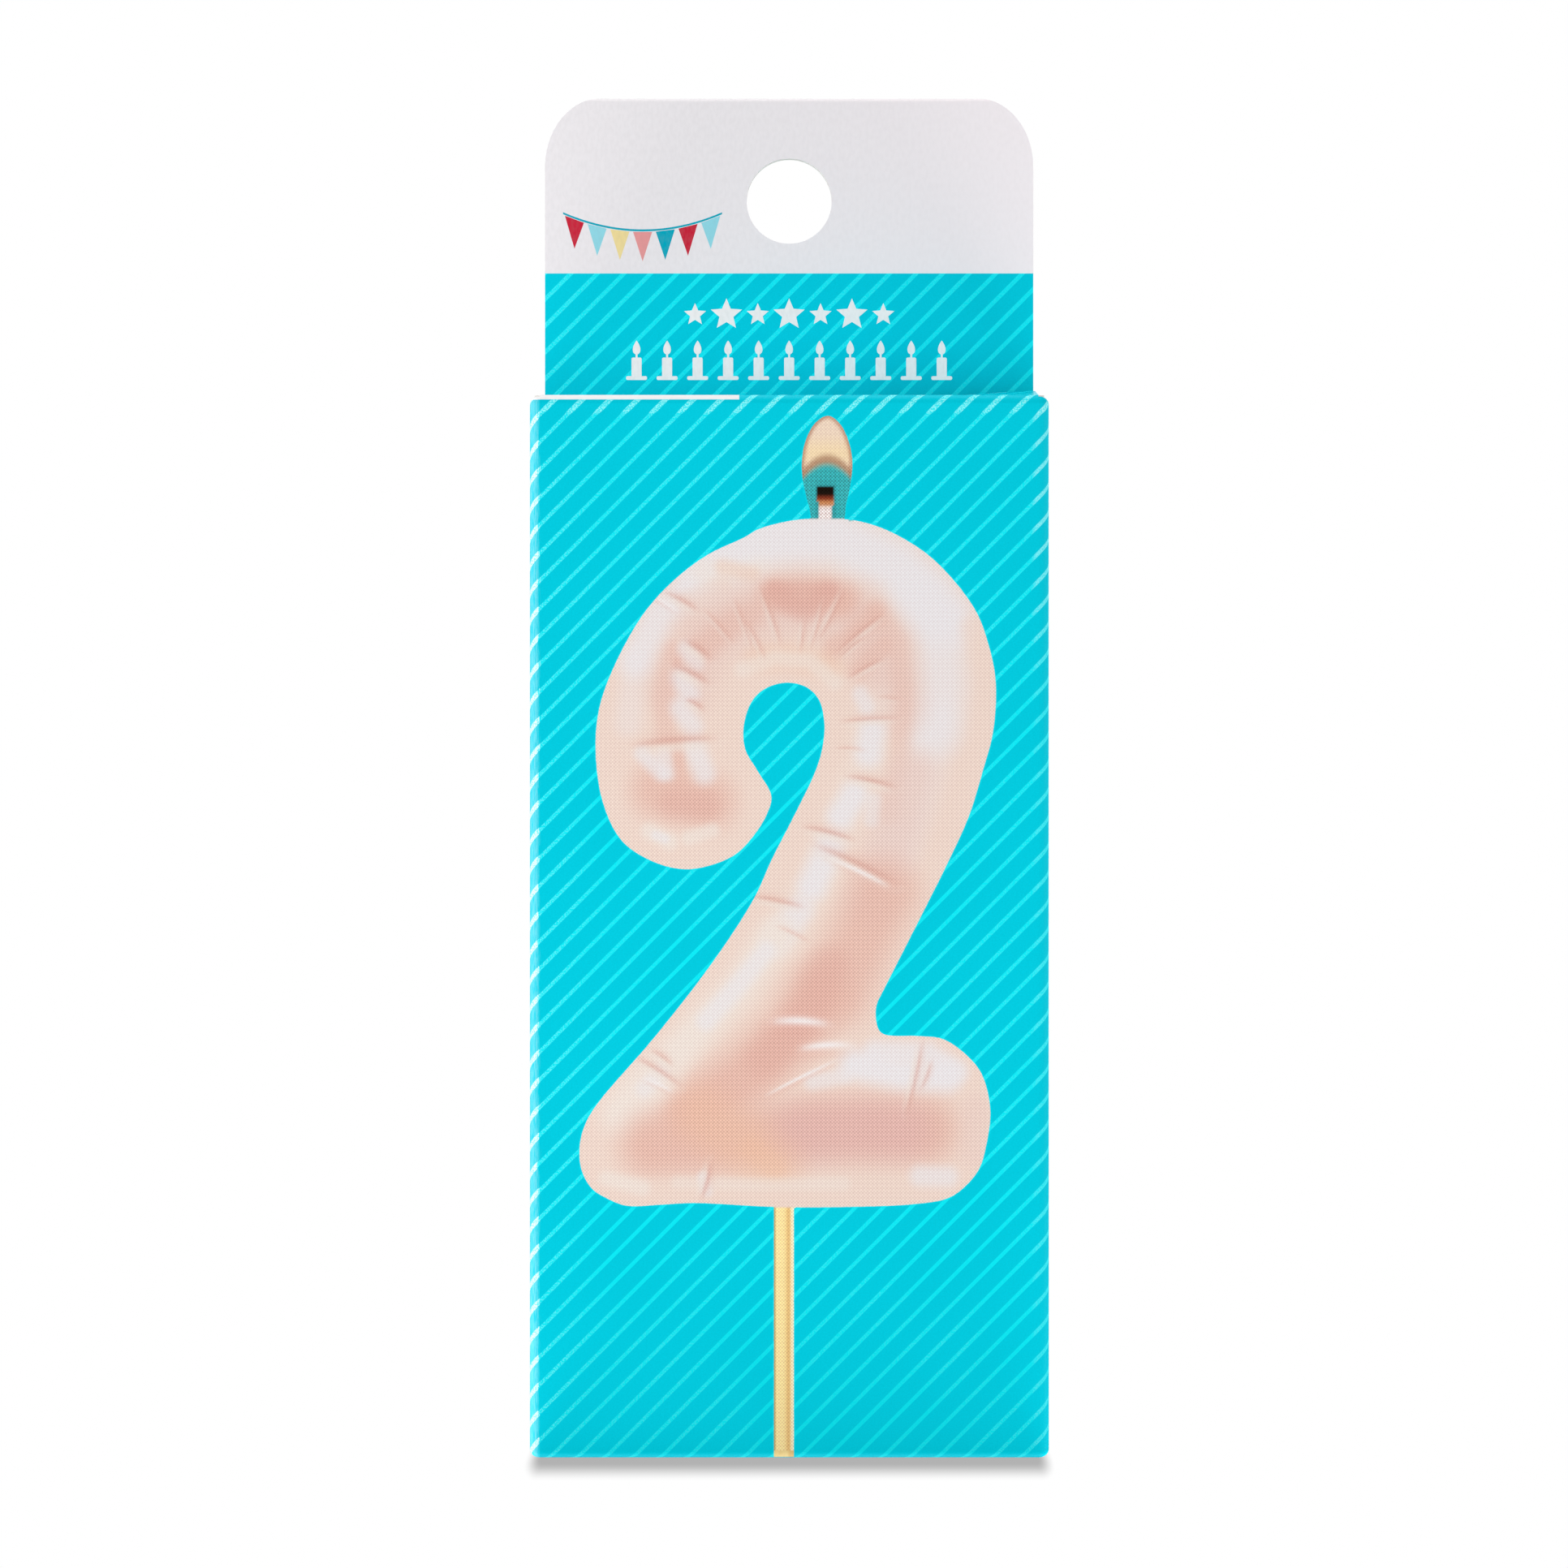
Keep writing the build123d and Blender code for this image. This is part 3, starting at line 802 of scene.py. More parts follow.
# Soft brush strokes that paint the numeral: colour, radius, strength, and the points it passes
STROKES = [
    (WHITE, 5.6, 0.95, [(-9, 99.5), (-2, 102.5), (5, 102.8), (12, 99.5), (17, 94)]),
    (WHITE, 5.0, 0.75, [(14.8, 96), (16.8, 91), (16.9, 86), (16.2, 81.5)]),
    (WHITE, 4.2, 0.45, [(16.2, 82), (14.2, 75), (11.6, 67.5)]),
    (PEACH, 2.4, 0.6, [(20.6, 92.5), (22.2, 87), (21.8, 80), (19.8, 73.5)]),
    (WHITE, 3.4, 0.8, [(-9, 99), (-14.5, 94), (-17, 89)]),
    (WHITE, 2.6, 0.35, [(-17, 89), (-18, 82)]),
    (CREAM, 2.6, 0.6, [(-9.6, 99.0), (-5.4, 98.4), (-3.6, 98.8)]),
    (AMBER, 1.5, 0.3, [(-7.4, 99.4), (-4.2, 98.6)]),
    (AMBER, 1.8, 0.22, [(-11.4, 95.6), (-7.6, 97.4)]),
    (PINK, 5.6, 0.85, [(-12.2, 86), (-9.5, 91.5), (-4, 94.5), (1, 95.4), (7, 94), (10.5, 90), (11.5, 84)]),
    (ROSE, 3.2, 0.9, [(-1.6, 96.2), (3.6, 96.2), (5.8, 95.6)]),
    (DEEP, 2.2, 0.55, [(-1.6, 96.4), (1.7, 94.6), (4.4, 96.4)]),
    (DEEP, 1.1, 0.3, [(-1.8, 97.1), (4.6, 96.9)]),
    (ROSE, 2.2, 0.6, [(9.4, 94.0), (6.4, 91.0), (5.0, 90.4)]),
    (ROSE, 2.0, 0.5, [(10.2, 90.4), (7.6, 88.0)]),
    (ROSE, 2.6, 0.5, [(-9.8, 90.2), (-6.6, 93.0), (-4.4, 94.0)]),
    (AMBER, 2.6, 0.28, [(-3.4, 89.2), (0, 89.4), (4.6, 88.2)]),
    (CREAM, 1.5, 0.6, [(-5.2, 88.0), (-1.6, 89.2), (2.2, 88.9), (5.0, 86.6)]),
    (ROSE, 2.0, 0.42, [(-12.8, 90.0), (-14.1, 85), (-13.8, 80.8), (-12.5, 78)]),
    (DEEP, 0.8, 0.25, [(-12.5, 88.8), (-12.9, 86.6)]),
    (ROSE, 2.1, 0.32, [(9.8, 94.6), (12.0, 91), (12.6, 86), (12.3, 79), (11.3, 72)]),
    (ROSE, 5.0, 0.75, [(-14.6, 74.4), (-9.0, 73.2)]),
    (DEEP, 2.9, 0.4, [(-12.8, 73.0), (-9.6, 72.7)]),
    (WHITE, 1.5, 0.7, [(-16.4, 78.6), (-14.3, 76.4)]),
    (WHITE, 1.5, 0.6, [(-14.0, 78.4), (-13.6, 76.4)]),
    (WHITE, 2.1, 0.72, [(-10.5, 79.0), (-9.5, 76.4)]),
    (ROSE, 1.1, 0.4, [(-12.4, 79.0), (-12.0, 75.0)]),
    (CREAM, 1.6, 0.85, [(-15.6, 69.9), (-13.4, 68.8)]),
    (CREAM, 1.4, 0.75, [(-11.2, 69.2), (-8.6, 70.0)]),
    (WHITE, 0.9, 0.6, [(-14.9, 69.5), (-13.9, 69.1)]),
    (WHITE, 1.5, 0.6, [(-11.6, 90.3), (-10.4, 88.6)]),
    (WHITE, 1.9, 0.7, [(-12.1, 87.0), (-11.1, 85.2)]),
    (WHITE, 2.0, 0.7, [(-12.1, 83.6), (-10.8, 81.6)]),
    (PINK, 4.6, 0.7, [(13.5, 76), (11.6, 69), (9.0, 62)]),
    (ROSE, 6.2, 0.8, [(10.6, 63), (7.6, 57), (5.4, 52)]),
    (ROSE, 5.6, 0.95, [(3.4, 52), (0.5, 47.5), (-5, 42.5), (-11, 38.5)]),
    (DEEP, 3.6, 0.42, [(4.4, 55), (2.6, 50.6), (-2.6, 44.6)]),
    (CREAM, 3.6, 0.5, [(9.4, 83.6), (8.8, 78.0), (6.2, 72.0), (2.8, 64.0), (-1.0, 58.0)]),
    (WHITE, 2.5, 0.85, [(9.2, 81.0), (8.8, 78.6)]),
    (WHITE, 1.5, 0.6, [(7.9, 85.2), (8.6, 83.8)]),
    (WHITE, 2.5, 0.9, [(7.2, 74.0), (5.7, 71.6)]),
    (WHITE, 1.4, 0.5, [(9.4, 73.4), (9.1, 71.2)]),
    (WHITE, 2.7, 0.9, [(4.5, 68.2), (2.5, 63.8)]),
    (WHITE, 2.5, 0.8, [(1.2, 61.2), (-1.6, 57.6)]),
    (CREAM, 3.4, 0.95, [(-1.4, 58.5), (-5.6, 52.6), (-9.8, 48.2), (-12.3, 45.6)]),
    (WHITE, 1.8, 0.7, [(-2.6, 56.6), (-6.4, 52.0), (-9.3, 48.8)]),
    (CREAM, 4.2, 0.95, [(-14.6, 43.2), (-18.6, 38.6)]),
    (WHITE, 1.6, 0.5, [(-14.4, 43.0), (-16.2, 41.2)]),
    (ROSE, 5.9, 0.9, [(-15.2, 34.9), (-9, 35.2), (3, 36.8), (15.2, 36.6)]),
    (BLUSH, 5.6, 0.5, [(1.6, 36.2), (8.0, 36.8), (12.6, 36.6)]),
    (AMBER, 5.4, 0.45, [(-9.6, 38.2), (-5.5, 35.2), (-2.0, 32.6)]),
    (AMBER, 2.2, 0.35, [(-4.2, 34.6), (-1.6, 32.4)]),
    (WHITE, 3.0, 0.95, [(7.4, 43.9), (12.2, 42.9), (17.4, 42.6)]),
    (WHITE, 2.2, 0.8, [(9.6, 45.4), (15.4, 45.2), (18.6, 43.2)]),
    (WHITE, 1.6, 0.6, [(2.6, 42.0), (6, 42.6)]),
    (PINK, 2.6, 0.5, [(20.8, 39), (20.6, 34)]),
    (PEACH, 2.1, 0.9, [(-19.4, 30.2), (-9, 29.7), (2, 29.4), (16, 29.5)]),
    (CREAM, 1.5, 0.8, [(-20.4, 31.2), (-16.4, 30.2)]),
    (CREAM, 1.3, 0.5, [(-12.4, 30.8), (-4, 30.6), (6, 30.6)]),
    (WHITE, 2.0, 0.7, [(14.6, 31.5), (17.6, 31.4)]),
    (WHITE, 1.1, 0.6, [(-9.6, 31.4), (-9.2, 29.8)]),
]

# The flame's outline, clockwise from its tip, and its tints
FLAME = [
    (4.3, 116.25), (5.5, 115.5), (6.45, 113.8), (6.98, 111.6), (6.95, 109.8), (6.7, 108.0), (6.3, 106.3),
    (5.9, 104.4), (2.7, 104.4), (2.25, 105.9), (1.8, 107.6), (1.45, 109.5), (1.42, 111.5), (1.9, 113.7),
    (2.95, 115.5),
]
FLAME_TOP, FLAME_MID, FLAME_RIM, FLAME_COOL = (236, 212, 190), (242, 216, 172), (160, 104, 80), (58, 172, 176)

# The printed wick and stick: left, right, low and high
PRINT_WICK = (3.15, 4.95, 104.0, 108.35)
PRINT_STICK = (-1.72, 0.5, -2.0, 28.6)

# The wick's colour at its foot, and the colours that come in above, each between two heights
WICK_FOOT = (233, 219, 216)
WICK_BANDS = [((196, 130, 84), 105.9, 106.5), ((128, 52, 32), 106.6, 107.1), ((28, 20, 14), 107.1, 107.6)]


def smooth_outline(points, steps):
    """A closed centripetal Catmull-Rom curve through the points."""
    p = np.array(points, float)
    before, after, beyond = np.roll(p, 1, 0), np.roll(p, -1, 0), np.roll(p, -2, 0)
    spans = (p - before, after - p, beyond - after)
    t1, t2, t3 = np.cumsum([np.sqrt(np.linalg.norm(span, axis=1))[:, None] for span in spans], axis=0)
    curve = []
    for k in range(steps):
        t = t1 + (t2 - t1) * k / steps
        a1 = (t1 - t) / t1 * before + t / t1 * p
        a2 = (t2 - t) / (t2 - t1) * p + (t - t1) / (t2 - t1) * after
        a3 = (t3 - t) / (t3 - t2) * after + (t - t2) / (t3 - t2) * beyond
        b1 = (t2 - t) / t2 * a1 + t / t2 * a2
        b2 = (t3 - t) / (t3 - t1) * a2 + (t - t1) / (t3 - t1) * a3
        curve.append((t2 - t) / (t2 - t1) * b1 + (t - t1) / (t2 - t1) * b2)
    return np.stack(curve, 1).reshape(-1, 2)


def distance_to(points, start, end):
    """Each point's distance to a segment, and how far along the segment it is, 0 to 1."""
    start, end = np.array(start, float), np.array(end, float)
    way = end - start
    along = np.clip(((points - start) @ way) / max(way @ way, 1e-9), 0, 1)
    return np.linalg.norm(points - start - along[:, None] * way, axis=1), along


def depth_inside(points, loop):
    """How far each point is inside a closed loop, negative outside."""
    nearest = np.full(len(points), 1e9)
    crossings = np.zeros(len(points), int)
    for a, b in zip(loop, np.roll(loop, -1, 0)):
        nearest = np.minimum(nearest, distance_to(points, a, b)[0])
        rises = (a[1] > points[:, 1]) != (b[1] > points[:, 1])
        x = a[0] + (points[:, 1] - a[1]) * (b[0] - a[0]) / (b[1] - a[1] if b[1] != a[1] else 1e-9)
        crossings += rises & (points[:, 0] < x)
    return np.where(crossings % 2, nearest, -nearest)


def crease_profile(points, crease):
    """A crease's dark valley and the lit lip beside it, 0 to 1, fading at its ends."""
    start, end, width = crease
    off, along = distance_to(points, start, end)
    way = np.array(end) - np.array(start)
    side = np.sign(way[0] * (points[:, 1] - start[1]) - way[1] * (points[:, 0] - start[0]))
    side *= np.sign(way[0]) if abs(way[0]) > abs(way[1]) else 1
    taper = np.sin(pi * np.clip(along, 0.02, 0.98)) ** 0.6
    signed = off * side
    bow = 0.35 * width * np.sin(pi * along)
    valley = np.exp(-(((signed - bow) / (0.75 * width)) ** 2)) * taper
    lip = np.exp(-(((signed - bow + 1.9 * width) / (1.1 * width)) ** 2)) * taper
    return valley, lip


def blend_colour(colour, target, weight):
    return colour + (np.array(target, float) - colour) * weight[:, None]


def paint_numeral(points):
    """The printed numeral's colours: soft strokes and creases, over a warm pale ground."""
    colour = np.tile(np.array(PEACH, float), (len(points), 1))
    for target, radius, strength, route in STROKES:
        off = np.min([distance_to(points, a, b)[0] for a, b in zip(route, route[1:])], axis=0)
        colour = blend_colour(colour, target, strength * (1 - smoothstep(0.15 * radius, radius, off)))
    for crease in CREASES:
        valley, lip = crease_profile(points, crease)
        firm = min(1.0, crease[2] / 0.32)
        soft, _ = crease_profile(points, (crease[0], crease[1], 2.6 * crease[2]))
        colour = blend_colour(colour, ROSE, 0.3 * soft)
        colour = blend_colour(colour, (206, 152, 140), 0.5 * firm * valley)
        colour = blend_colour(colour, CREAM, 0.62 * firm * lip)
    for slit in SLITS:
        valley, lip = crease_profile(points, slit)
        colour = blend_colour(colour, (240, 233, 232), 0.95 * valley)
        colour = blend_colour(colour, DEEP, 0.2 * lip)
    return colour


def paint_flame(points, depth):
    """The printed flame: a cream body with a warm rim, teal and dark about the wick."""
    x, z = points.T
    cool_line = 110.8 - 1.5 * ((x - 4.2) / 2.6) ** 2
    colour = np.tile(np.array(FLAME_TOP, float), (len(points), 1))
    colour = blend_colour(colour, FLAME_MID, 0.8 * (1 - smoothstep(0.0, 2.6, np.abs(z - 112.0))))
    colour = blend_colour(colour, FLAME_RIM, 0.62 * (1 - smoothstep(0.0, 0.55, depth)))
    singed = 1 - smoothstep(0.1, 1.1, np.abs(z - cool_line - 0.45))
    colour = blend_colour(colour, (168, 128, 100), 0.8 * singed)
    colour = blend_colour(colour, FLAME_COOL, 1 - smoothstep(-0.5, 0.5, z - cool_line))
    shadow = (1 - smoothstep(0.6, 1.5, np.abs(x - 4.05))) * (1 - smoothstep(107.6, 109.6, z))
    return blend_colour(colour, (44, 128, 134), 0.55 * shadow)


def paint_wick(z):
    """The printed wick: pale at its foot, scorched above, and black at its tip."""
    colour = np.tile(np.array(WICK_FOOT, float), (len(z), 1))
    for target, low, high in WICK_BANDS:
        colour = blend_colour(colour, target, smoothstep(low, high, z))
    return colour


def paint_stick(x, z):
    """The printed stick: streaky wood with a darker left edge, a brown band and a pale right rim."""
    left, right = PRINT_STICK[:2]
    rng = np.random.default_rng(7)
    streaks = np.interp(x, np.linspace(left, right, 24), rng.random(24))
    drift = np.interp(z, np.linspace(0, 28, 20), rng.random(20))
    colour = np.tile(np.array((255, 233, 168), float), (len(x), 1))
    colour = blend_colour(colour, (236, 200, 132), 0.55 * streaks * (0.6 + 0.4 * drift))
    band = 1 - smoothstep(0.15, 0.45, np.abs(x - right + 0.62))
    colour = blend_colour(colour, (228, 184, 118), 0.75 * band)
    colour = blend_colour(colour, (250, 238, 206), 0.8 * smoothstep(right - 0.36, right - 0.2, x))
    return blend_colour(colour, (196, 168, 112), 1 - smoothstep(0.05, 0.3, x - left))


def paint_front(points):
    """Every point's colour, its depth inside the nearest printed thing, and the halftone there."""
    x, z = points.T
    numeral = depth_inside(points, smooth_outline(NUMERAL, 5))
    flame = depth_inside(points, smooth_outline(FLAME, 4))
    wick, stick = (
        np.minimum(np.minimum(x - left, right - x), np.minimum(z - low, high - z))
        for left, right, low, high in (PRINT_WICK, PRINT_STICK)
    )
    wick -= 0.17 * (1 - smoothstep(106.2, 107.0, z))  # it is slimmer below
    colour = paint_numeral(points)
    outside, upper, lower = numeral < 0, z > 104.0, z < 30
    for over, paint in (
        (outside & (flame > -1.0) & upper, paint_flame(points, flame)),
        (outside & (wick > -0.05) & upper, paint_wick(z)),
        (outside & (stick > -1.0) & lower, paint_stick(x, z)),
    ):
        colour[over] = paint[over]
    inside = np.maximum(np.maximum(numeral, flame), np.maximum(wick, stick))
    shade = np.clip((232 - colour[:, 1]) / 50, 0, 1)
    cool = 0.16 + 0.34 * (1 - smoothstep(109.6, 111.8, z))
    dots = np.where(outside & upper, cool, 0.11 + 0.16 * shade)
    dots[outside & lower] = 0.24
    light = np.array([ink(*c) for c in colour])
    return light, inside, dots


# ---------------------------------------------------------------- carton pieces

PRINTED = printed_board()
PLAIN = plain_board()
EDGE = plain_board("board_edge", RAW_EDGE)
BUNTING_INKS = [
    flat_ink("ink_teal", ink(0, 172, 196)),
    flat_ink("ink_red", ink(206, 38, 62)),
    flat_ink("ink_sky", ink(150, 222, 236)),
    flat_ink("ink_yellow", ink(247, 226, 160)),
    flat_ink("ink_pink", ink(238, 158, 158)),
]
INK_WHITE = flat_ink("ink_white", OFF_WHITE)
INK_PALE = flat_ink("ink_pale", ink(250, 248, 248))
SHEET = [PRINTED, PLAIN, EDGE]


def lines_between(low, high, step):
    return list(np.linspace(low, high, max(2, int(round((high - low) / step)) + 1)))


def arc_lines(low, high, steps=8):
    return list(np.linspace(low, high, steps + 1))


def finer(low, high, step, bands):
    """Lines from low to high, closer together within the bands (start, end, step)."""
    marks = sorted({low, high, *[m for a, b, _ in bands for m in (a, b)]})
    out = []
    for a, b in zip(marks, marks[1:]):
        pace = min([step] + [s for start, end, s in bands if start <= a and b <= end])
        out += lines_between(a, b, pace)[:-1]
    return np.array(out + [high])


def ride(piece, body, slot, *nodes):
    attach(piece, body)
    if nodes:
        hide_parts(*nodes)
    return piece


# The front's points: how far apart they are, and where the picture needs them closer together
COARSE, FINE = 2.2, 0.24
PICTURE_U, PICTURE_LOW = (-24.2, 23.8), 27.4
CAP_TURN = 0.47 * pi  # just short of a quarter turn


def corner_cap(edge, way):
    """The shape for grid() of the small cap beyond an edge, at the end of an upright fold."""

    def shape(u, share):
        out = (np.abs(u) - FLAT_X) / QUARTER
        return edge + way * share * FOLD_R * CAP_TURN * np.cos(out * pi / 2) ** 0.7

    return shape


def make_front():
    """The front, finely divided where the picture is painted, with its rounded corners."""
    us_flat = finer(-FLAT_X, FLAT_X, COARSE, [(*PICTURE_U, FINE)])
    arc = np.linspace(0, QUARTER, 9)
    us = np.concatenate([-RIGHT_U + arc[:-1], us_flat, FLAT_X + arc[1:]])
    vs = finer(FOLD_R, TOP_V, COARSE, [(PICTURE_LOW, TOP_V, FINE)])
    sheets = [grid(us, vs, flat_columns=(8, 8 + len(us_flat) - 1))]
    share = np.linspace(0, 1, 7)
    for side in (-1, 1):
        u = np.sort(side * (FLAT_X + arc))
        sheets.append(grid(u, share, corner_cap(TOP_V, 1)))
        sheets.append(grid(u, share[::-1], corner_cap(FOLD_R, -1)))
    flat = joined(*sheets)
    light, inside, dots = paint_front(flat[0])
    layers = {"picture": light, "inside": inside, "dots": dots}
    piece = board("front_sheet", flat, front_bend, [printed_front(), PLAIN, EDGE], layers)
    return ride(piece, "carton", "printed_board", "front_panel")


def side_u(side, y):
    """Where a depth y on a side panel lies across the sheet."""
    return LEFT_U - (y + FLAT_Y) if side == "left" else RIGHT_U + (y + FLAT_Y)


def make_side(side):
    """One side, with shoulders where its dust flaps' folds rise."""
    back_y = FLAT_Y if side == "left" else PLY - CORNER_R
    root = (FRONT + DUST_FRONT, FRONT + DUST_BACK)
    low_v, high_v = DUST_DROP + FOLD_R, DUST_V
    corner = TOP_V - CORNER_DROP
    half = [(-FLAT_Y, TOP_V), (root[0], high_v + 0.2), (root[0], high_v), (root[1], high_v)]
    half += [(root[1], HEIGHT - RELIEF - 0.3), (back_y, corner)]
    low = [(y, low_v if v == high_v else HEIGHT - v) for y, v in reversed(half)]
    flat = cut([(side_u(side, y), v) for y, v in half + low])
    piece = board(f"{side}_side_sheet", flat, wrap_bend, SHEET)
    return ride(piece, "carton", "printed_board", f"{side}_side_panel")


def tab_half_width(z):
    """Half the hang tab's width at a height, narrowing round its elliptical shoulders."""
    up = np.clip((z - (TAB_TOP - TAB_CORNER_Z)) / TAB_CORNER_Z, 0, 1)
    return TAB_HALF - TAB_CORNER_X * (1 - np.sqrt(1 - up**2))


def shoulder_heights(top):
    """Heights up one of the tab's shoulders, closer together towards the top."""
    angles = np.linspace(0, pi / 2, 15)
    heights = TAB_TOP - TAB_CORNER_Z + TAB_CORNER_Z * np.sin(angles)
    return [z for z in heights if z < top] + [top]


BAND_Z = HEIGHT + 16.1  # the top of the tab's striped band
TAB_SHIFT = 2.8  # how far the tab's stripes are printed out of step with the front's
STAR_ROW_Z, CANDLE_ROW_Z = 129.8, 122.2
BUNTING_ENDS = (-26.3, -7.8)
BUNTING_Z, BUNTING_SAG, PENNANTS = 141.6, 2.0, 7


def make_tab_front():
    heights = shoulder_heights(TAB_V)
    fold = [(TAB_V + TAB_R * a, tab_half_width(TAB_V + TAB_R * sin(a))) for a in np.linspace(0, pi, 13)[1:]]
    side = [(HEIGHT - TAB_LEG, TAB_LEG_HALF), (HEIGHT - 0.5, TAB_LEG_HALF), (HEIGHT - 0.5, TAB_HALF)]
    side += [(z, tab_half_width(z)) for z in heights] + fold
    outline = [(w, v) for v, w in side] + [(-w, v) for v, w in reversed(side)]
    marks = [(1 + k % 5, loop) for k, loop in enumerate(bunting())] + [(6, loop) for loop in garland()]
    flat = cut(outline, [hang_hole()], marks, v_lines=arc_lines(TAB_V, TAB_V + pi * TAB_R, 12))
    flat[0][:, 1] += TAB_SHIFT

    def bend(u, v):
        return tab_bend(u, v - TAB_SHIFT)

    band = printed_tab("printed_tab", BAND_Z + TAB_SHIFT)
    piece = board("hang_tab_front_sheet", flat, bend, [band, PLAIN, EDGE, *BUNTING_INKS, INK_PALE])
    return ride(piece, "carton", "printed_board", "hang_tab_front_ply")


def bunting():
    """A string of small pennants, and the string itself as a thin sagging ribbon first."""
    left, right = BUNTING_ENDS

    def string(x):
        return BUNTING_Z - BUNTING_SAG * (1 - ((2 * x - left - right) / (right - left)) ** 2)

    xs = np.linspace(left, right, 25)
    loops = [[(x, string(x) + 0.12) for x in xs] + [(x, string(x) - 0.12) for x in reversed(xs)]]
    step = (right - left) / PENNANTS
    for k in range(PENNANTS):
        x = left + (k + 0.5) * step
        w = 0.42 * step
        loops.append([(x - w, string(x - w) - 0.2), (x, string(x) - 3.6), (x + w, string(x + w) - 0.2)])
    return loops


def star(x, z, outer, inner=0.45):
    return [
        (x + r * sin(pi * k / 5), z + r * cos(pi * k / 5))
        for k, r in ((k, outer if k % 2 == 0 else outer * inner) for k in range(10))
    ]


def candle_mark(x, z, size):
    """A small lit candle: a slim body on a foot, and a pointed flame above its wick."""
    body = rectangle(x - 0.13 * size, z + 0.08 * size, x + 0.13 * size, z + 0.58 * size, 0.04 * size)
    foot = rectangle(x - 0.27 * size, z, x + 0.27 * size, z + 0.1 * size, 0.04 * size)
    wick = rectangle(x - 0.025 * size, z + 0.56 * size, x + 0.025 * size, z + 0.68 * size)
    flame = []
    for a in np.linspace(0, 2 * pi, 29)[:-1]:
        up = (1 - cos(a)) / 2
        flame.append((x + 0.125 * size * sin(a) * (1 - up) ** 0.45, z + (0.66 + 0.36 * up) * size))
    return [body, foot, wick, flame]


def garland():
    """Two rows of small party marks on the striped band: stars and candles."""
    loops = [star(3.65 * k, STAR_ROW_Z, 1.9 if k % 2 == 0 else 1.35) for k in range(-3, 4)]
    for k in range(-5, 6):
        loops += candle_mark(3.55 * k, CANDLE_ROW_Z, 4.5)
    return loops


def make_back():
    heights = shoulder_heights(TAB_V)
    bottom, top = DUST_DROP + BOARD, HEIGHT - RELIEF
    right = [(SIDE - BOARD, bottom), (SIDE - BOARD, top), (TAB_HALF, top)]
    right += [(tab_half_width(z), z) for z in heights]
    left = [(-tab_half_width(z), z) for z in reversed(heights)] + [(-TAB_HALF, top), (-FLAT_X, top)]
    steps = np.linspace(0, 1, 9)[1:]
    fold = [(-FLAT_X - QUARTER * t, top - CORNER_DROP * (1 - sqrt(1 - t * t))) for t in steps]
    fold += [(x, bottom + (top - z) + 0.3) for x, z in reversed(fold)]
    outline = right + left + fold + [(-FLAT_X, bottom)]
    blank = rectangle(-21, 18, 21, 74, 1.5)
    marks = [(1, blank)] + [(2, star(9.0 * k, 88, 3.0 - 0.5 * abs(k))) for k in range(-2, 3)]
    outline, hole = ([(BACK_U - x, z) for x, z in loop] for loop in (outline, hang_hole()))
    marks = [(k, [(BACK_U - x, z) for x, z in loop]) for k, loop in marks]
    lines = arc_lines(LEFT_U - SIDE_W - QUARTER, LEFT_U - SIDE_W)
    flat = cut(outline, [hole], marks, u_lines=lines)
    band = printed_tab("printed_back", BAND_Z)
    piece = board("back_sheet", flat, wrap_bend, [band, PLAIN, EDGE, INK_WHITE, INK_WHITE])
    return ride(piece, "carton", "printed_board", "back_panel")


def make_glue_flap():
    start = RIGHT_U + PLY + FLAT_Y - CORNER_R
    flat_start, end = start + QUARTER, start + QUARTER + SEAM_W
    bottom, top, inset = RELIEF, HEIGHT - RELIEF, 3.0
    inner_top = HEIGHT - TAB_LEG - inset
    outline = [(start, bottom), (flat_start, bottom), (flat_start + inset, bottom + inset), (end, bottom + 7)]
    outline += [(end, inner_top - 4), (flat_start + inset, inner_top), (flat_start, top), (start, top)]
    flat = cut(outline, u_lines=arc_lines(start, flat_start))
    piece = board("glue_flap_sheet", flat, wrap_bend, SHEET)
    return ride(piece, "carton", "plain_board", "glue_flap")


def strip(name, us, vs, bend, start, end, materials=SHEET):
    """The board round one fold, as a fixed piece of its own."""
    flat = grid(us, vs)
    piece = board(name, flat, bend, materials, {"crease": np.ones(len(flat[0]))})
    [c * MM for c in start]
    [c * MM for c in end]
    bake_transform(piece)


def lid_marks(end):
    """Where, along a lid's course, its fold, the lid, the tuck flap's fold and the flap begin."""
    fold_v = TOP_V if end == "top" else -FOLD_R
    lid_v = fold_v + FOLD_ARC
    tuck_v = lid_v + LID_FLAT
    return fold_v, lid_v, tuck_v, tuck_v + FOLD_R * radians(90 + TUCK_LEAN)


def make_lid_board(end, name, part, outline, prints, materials):
    """A lid's flat or its tuck flap's, from an outline along the lid's course."""
    sign = 1 if end == "top" else -1
    outline = [(u, sign * v) for u, v in outline]
    prints = [(k, [(u, sign * v) for u, v in loop]) for k, loop in prints]
    low, high = min(v for _, v in outline), max(v for _, v in outline)
    grid_u = lines_between(-LID_HALF, LID_HALF, 3.0)[1:-1]
    flat = cut(outline, (), prints, grid_u, lines_between(low, high, 2.5)[1:-1])
    return ride(board(name, flat, lid_bend(end), materials), part, "printed_board", part)


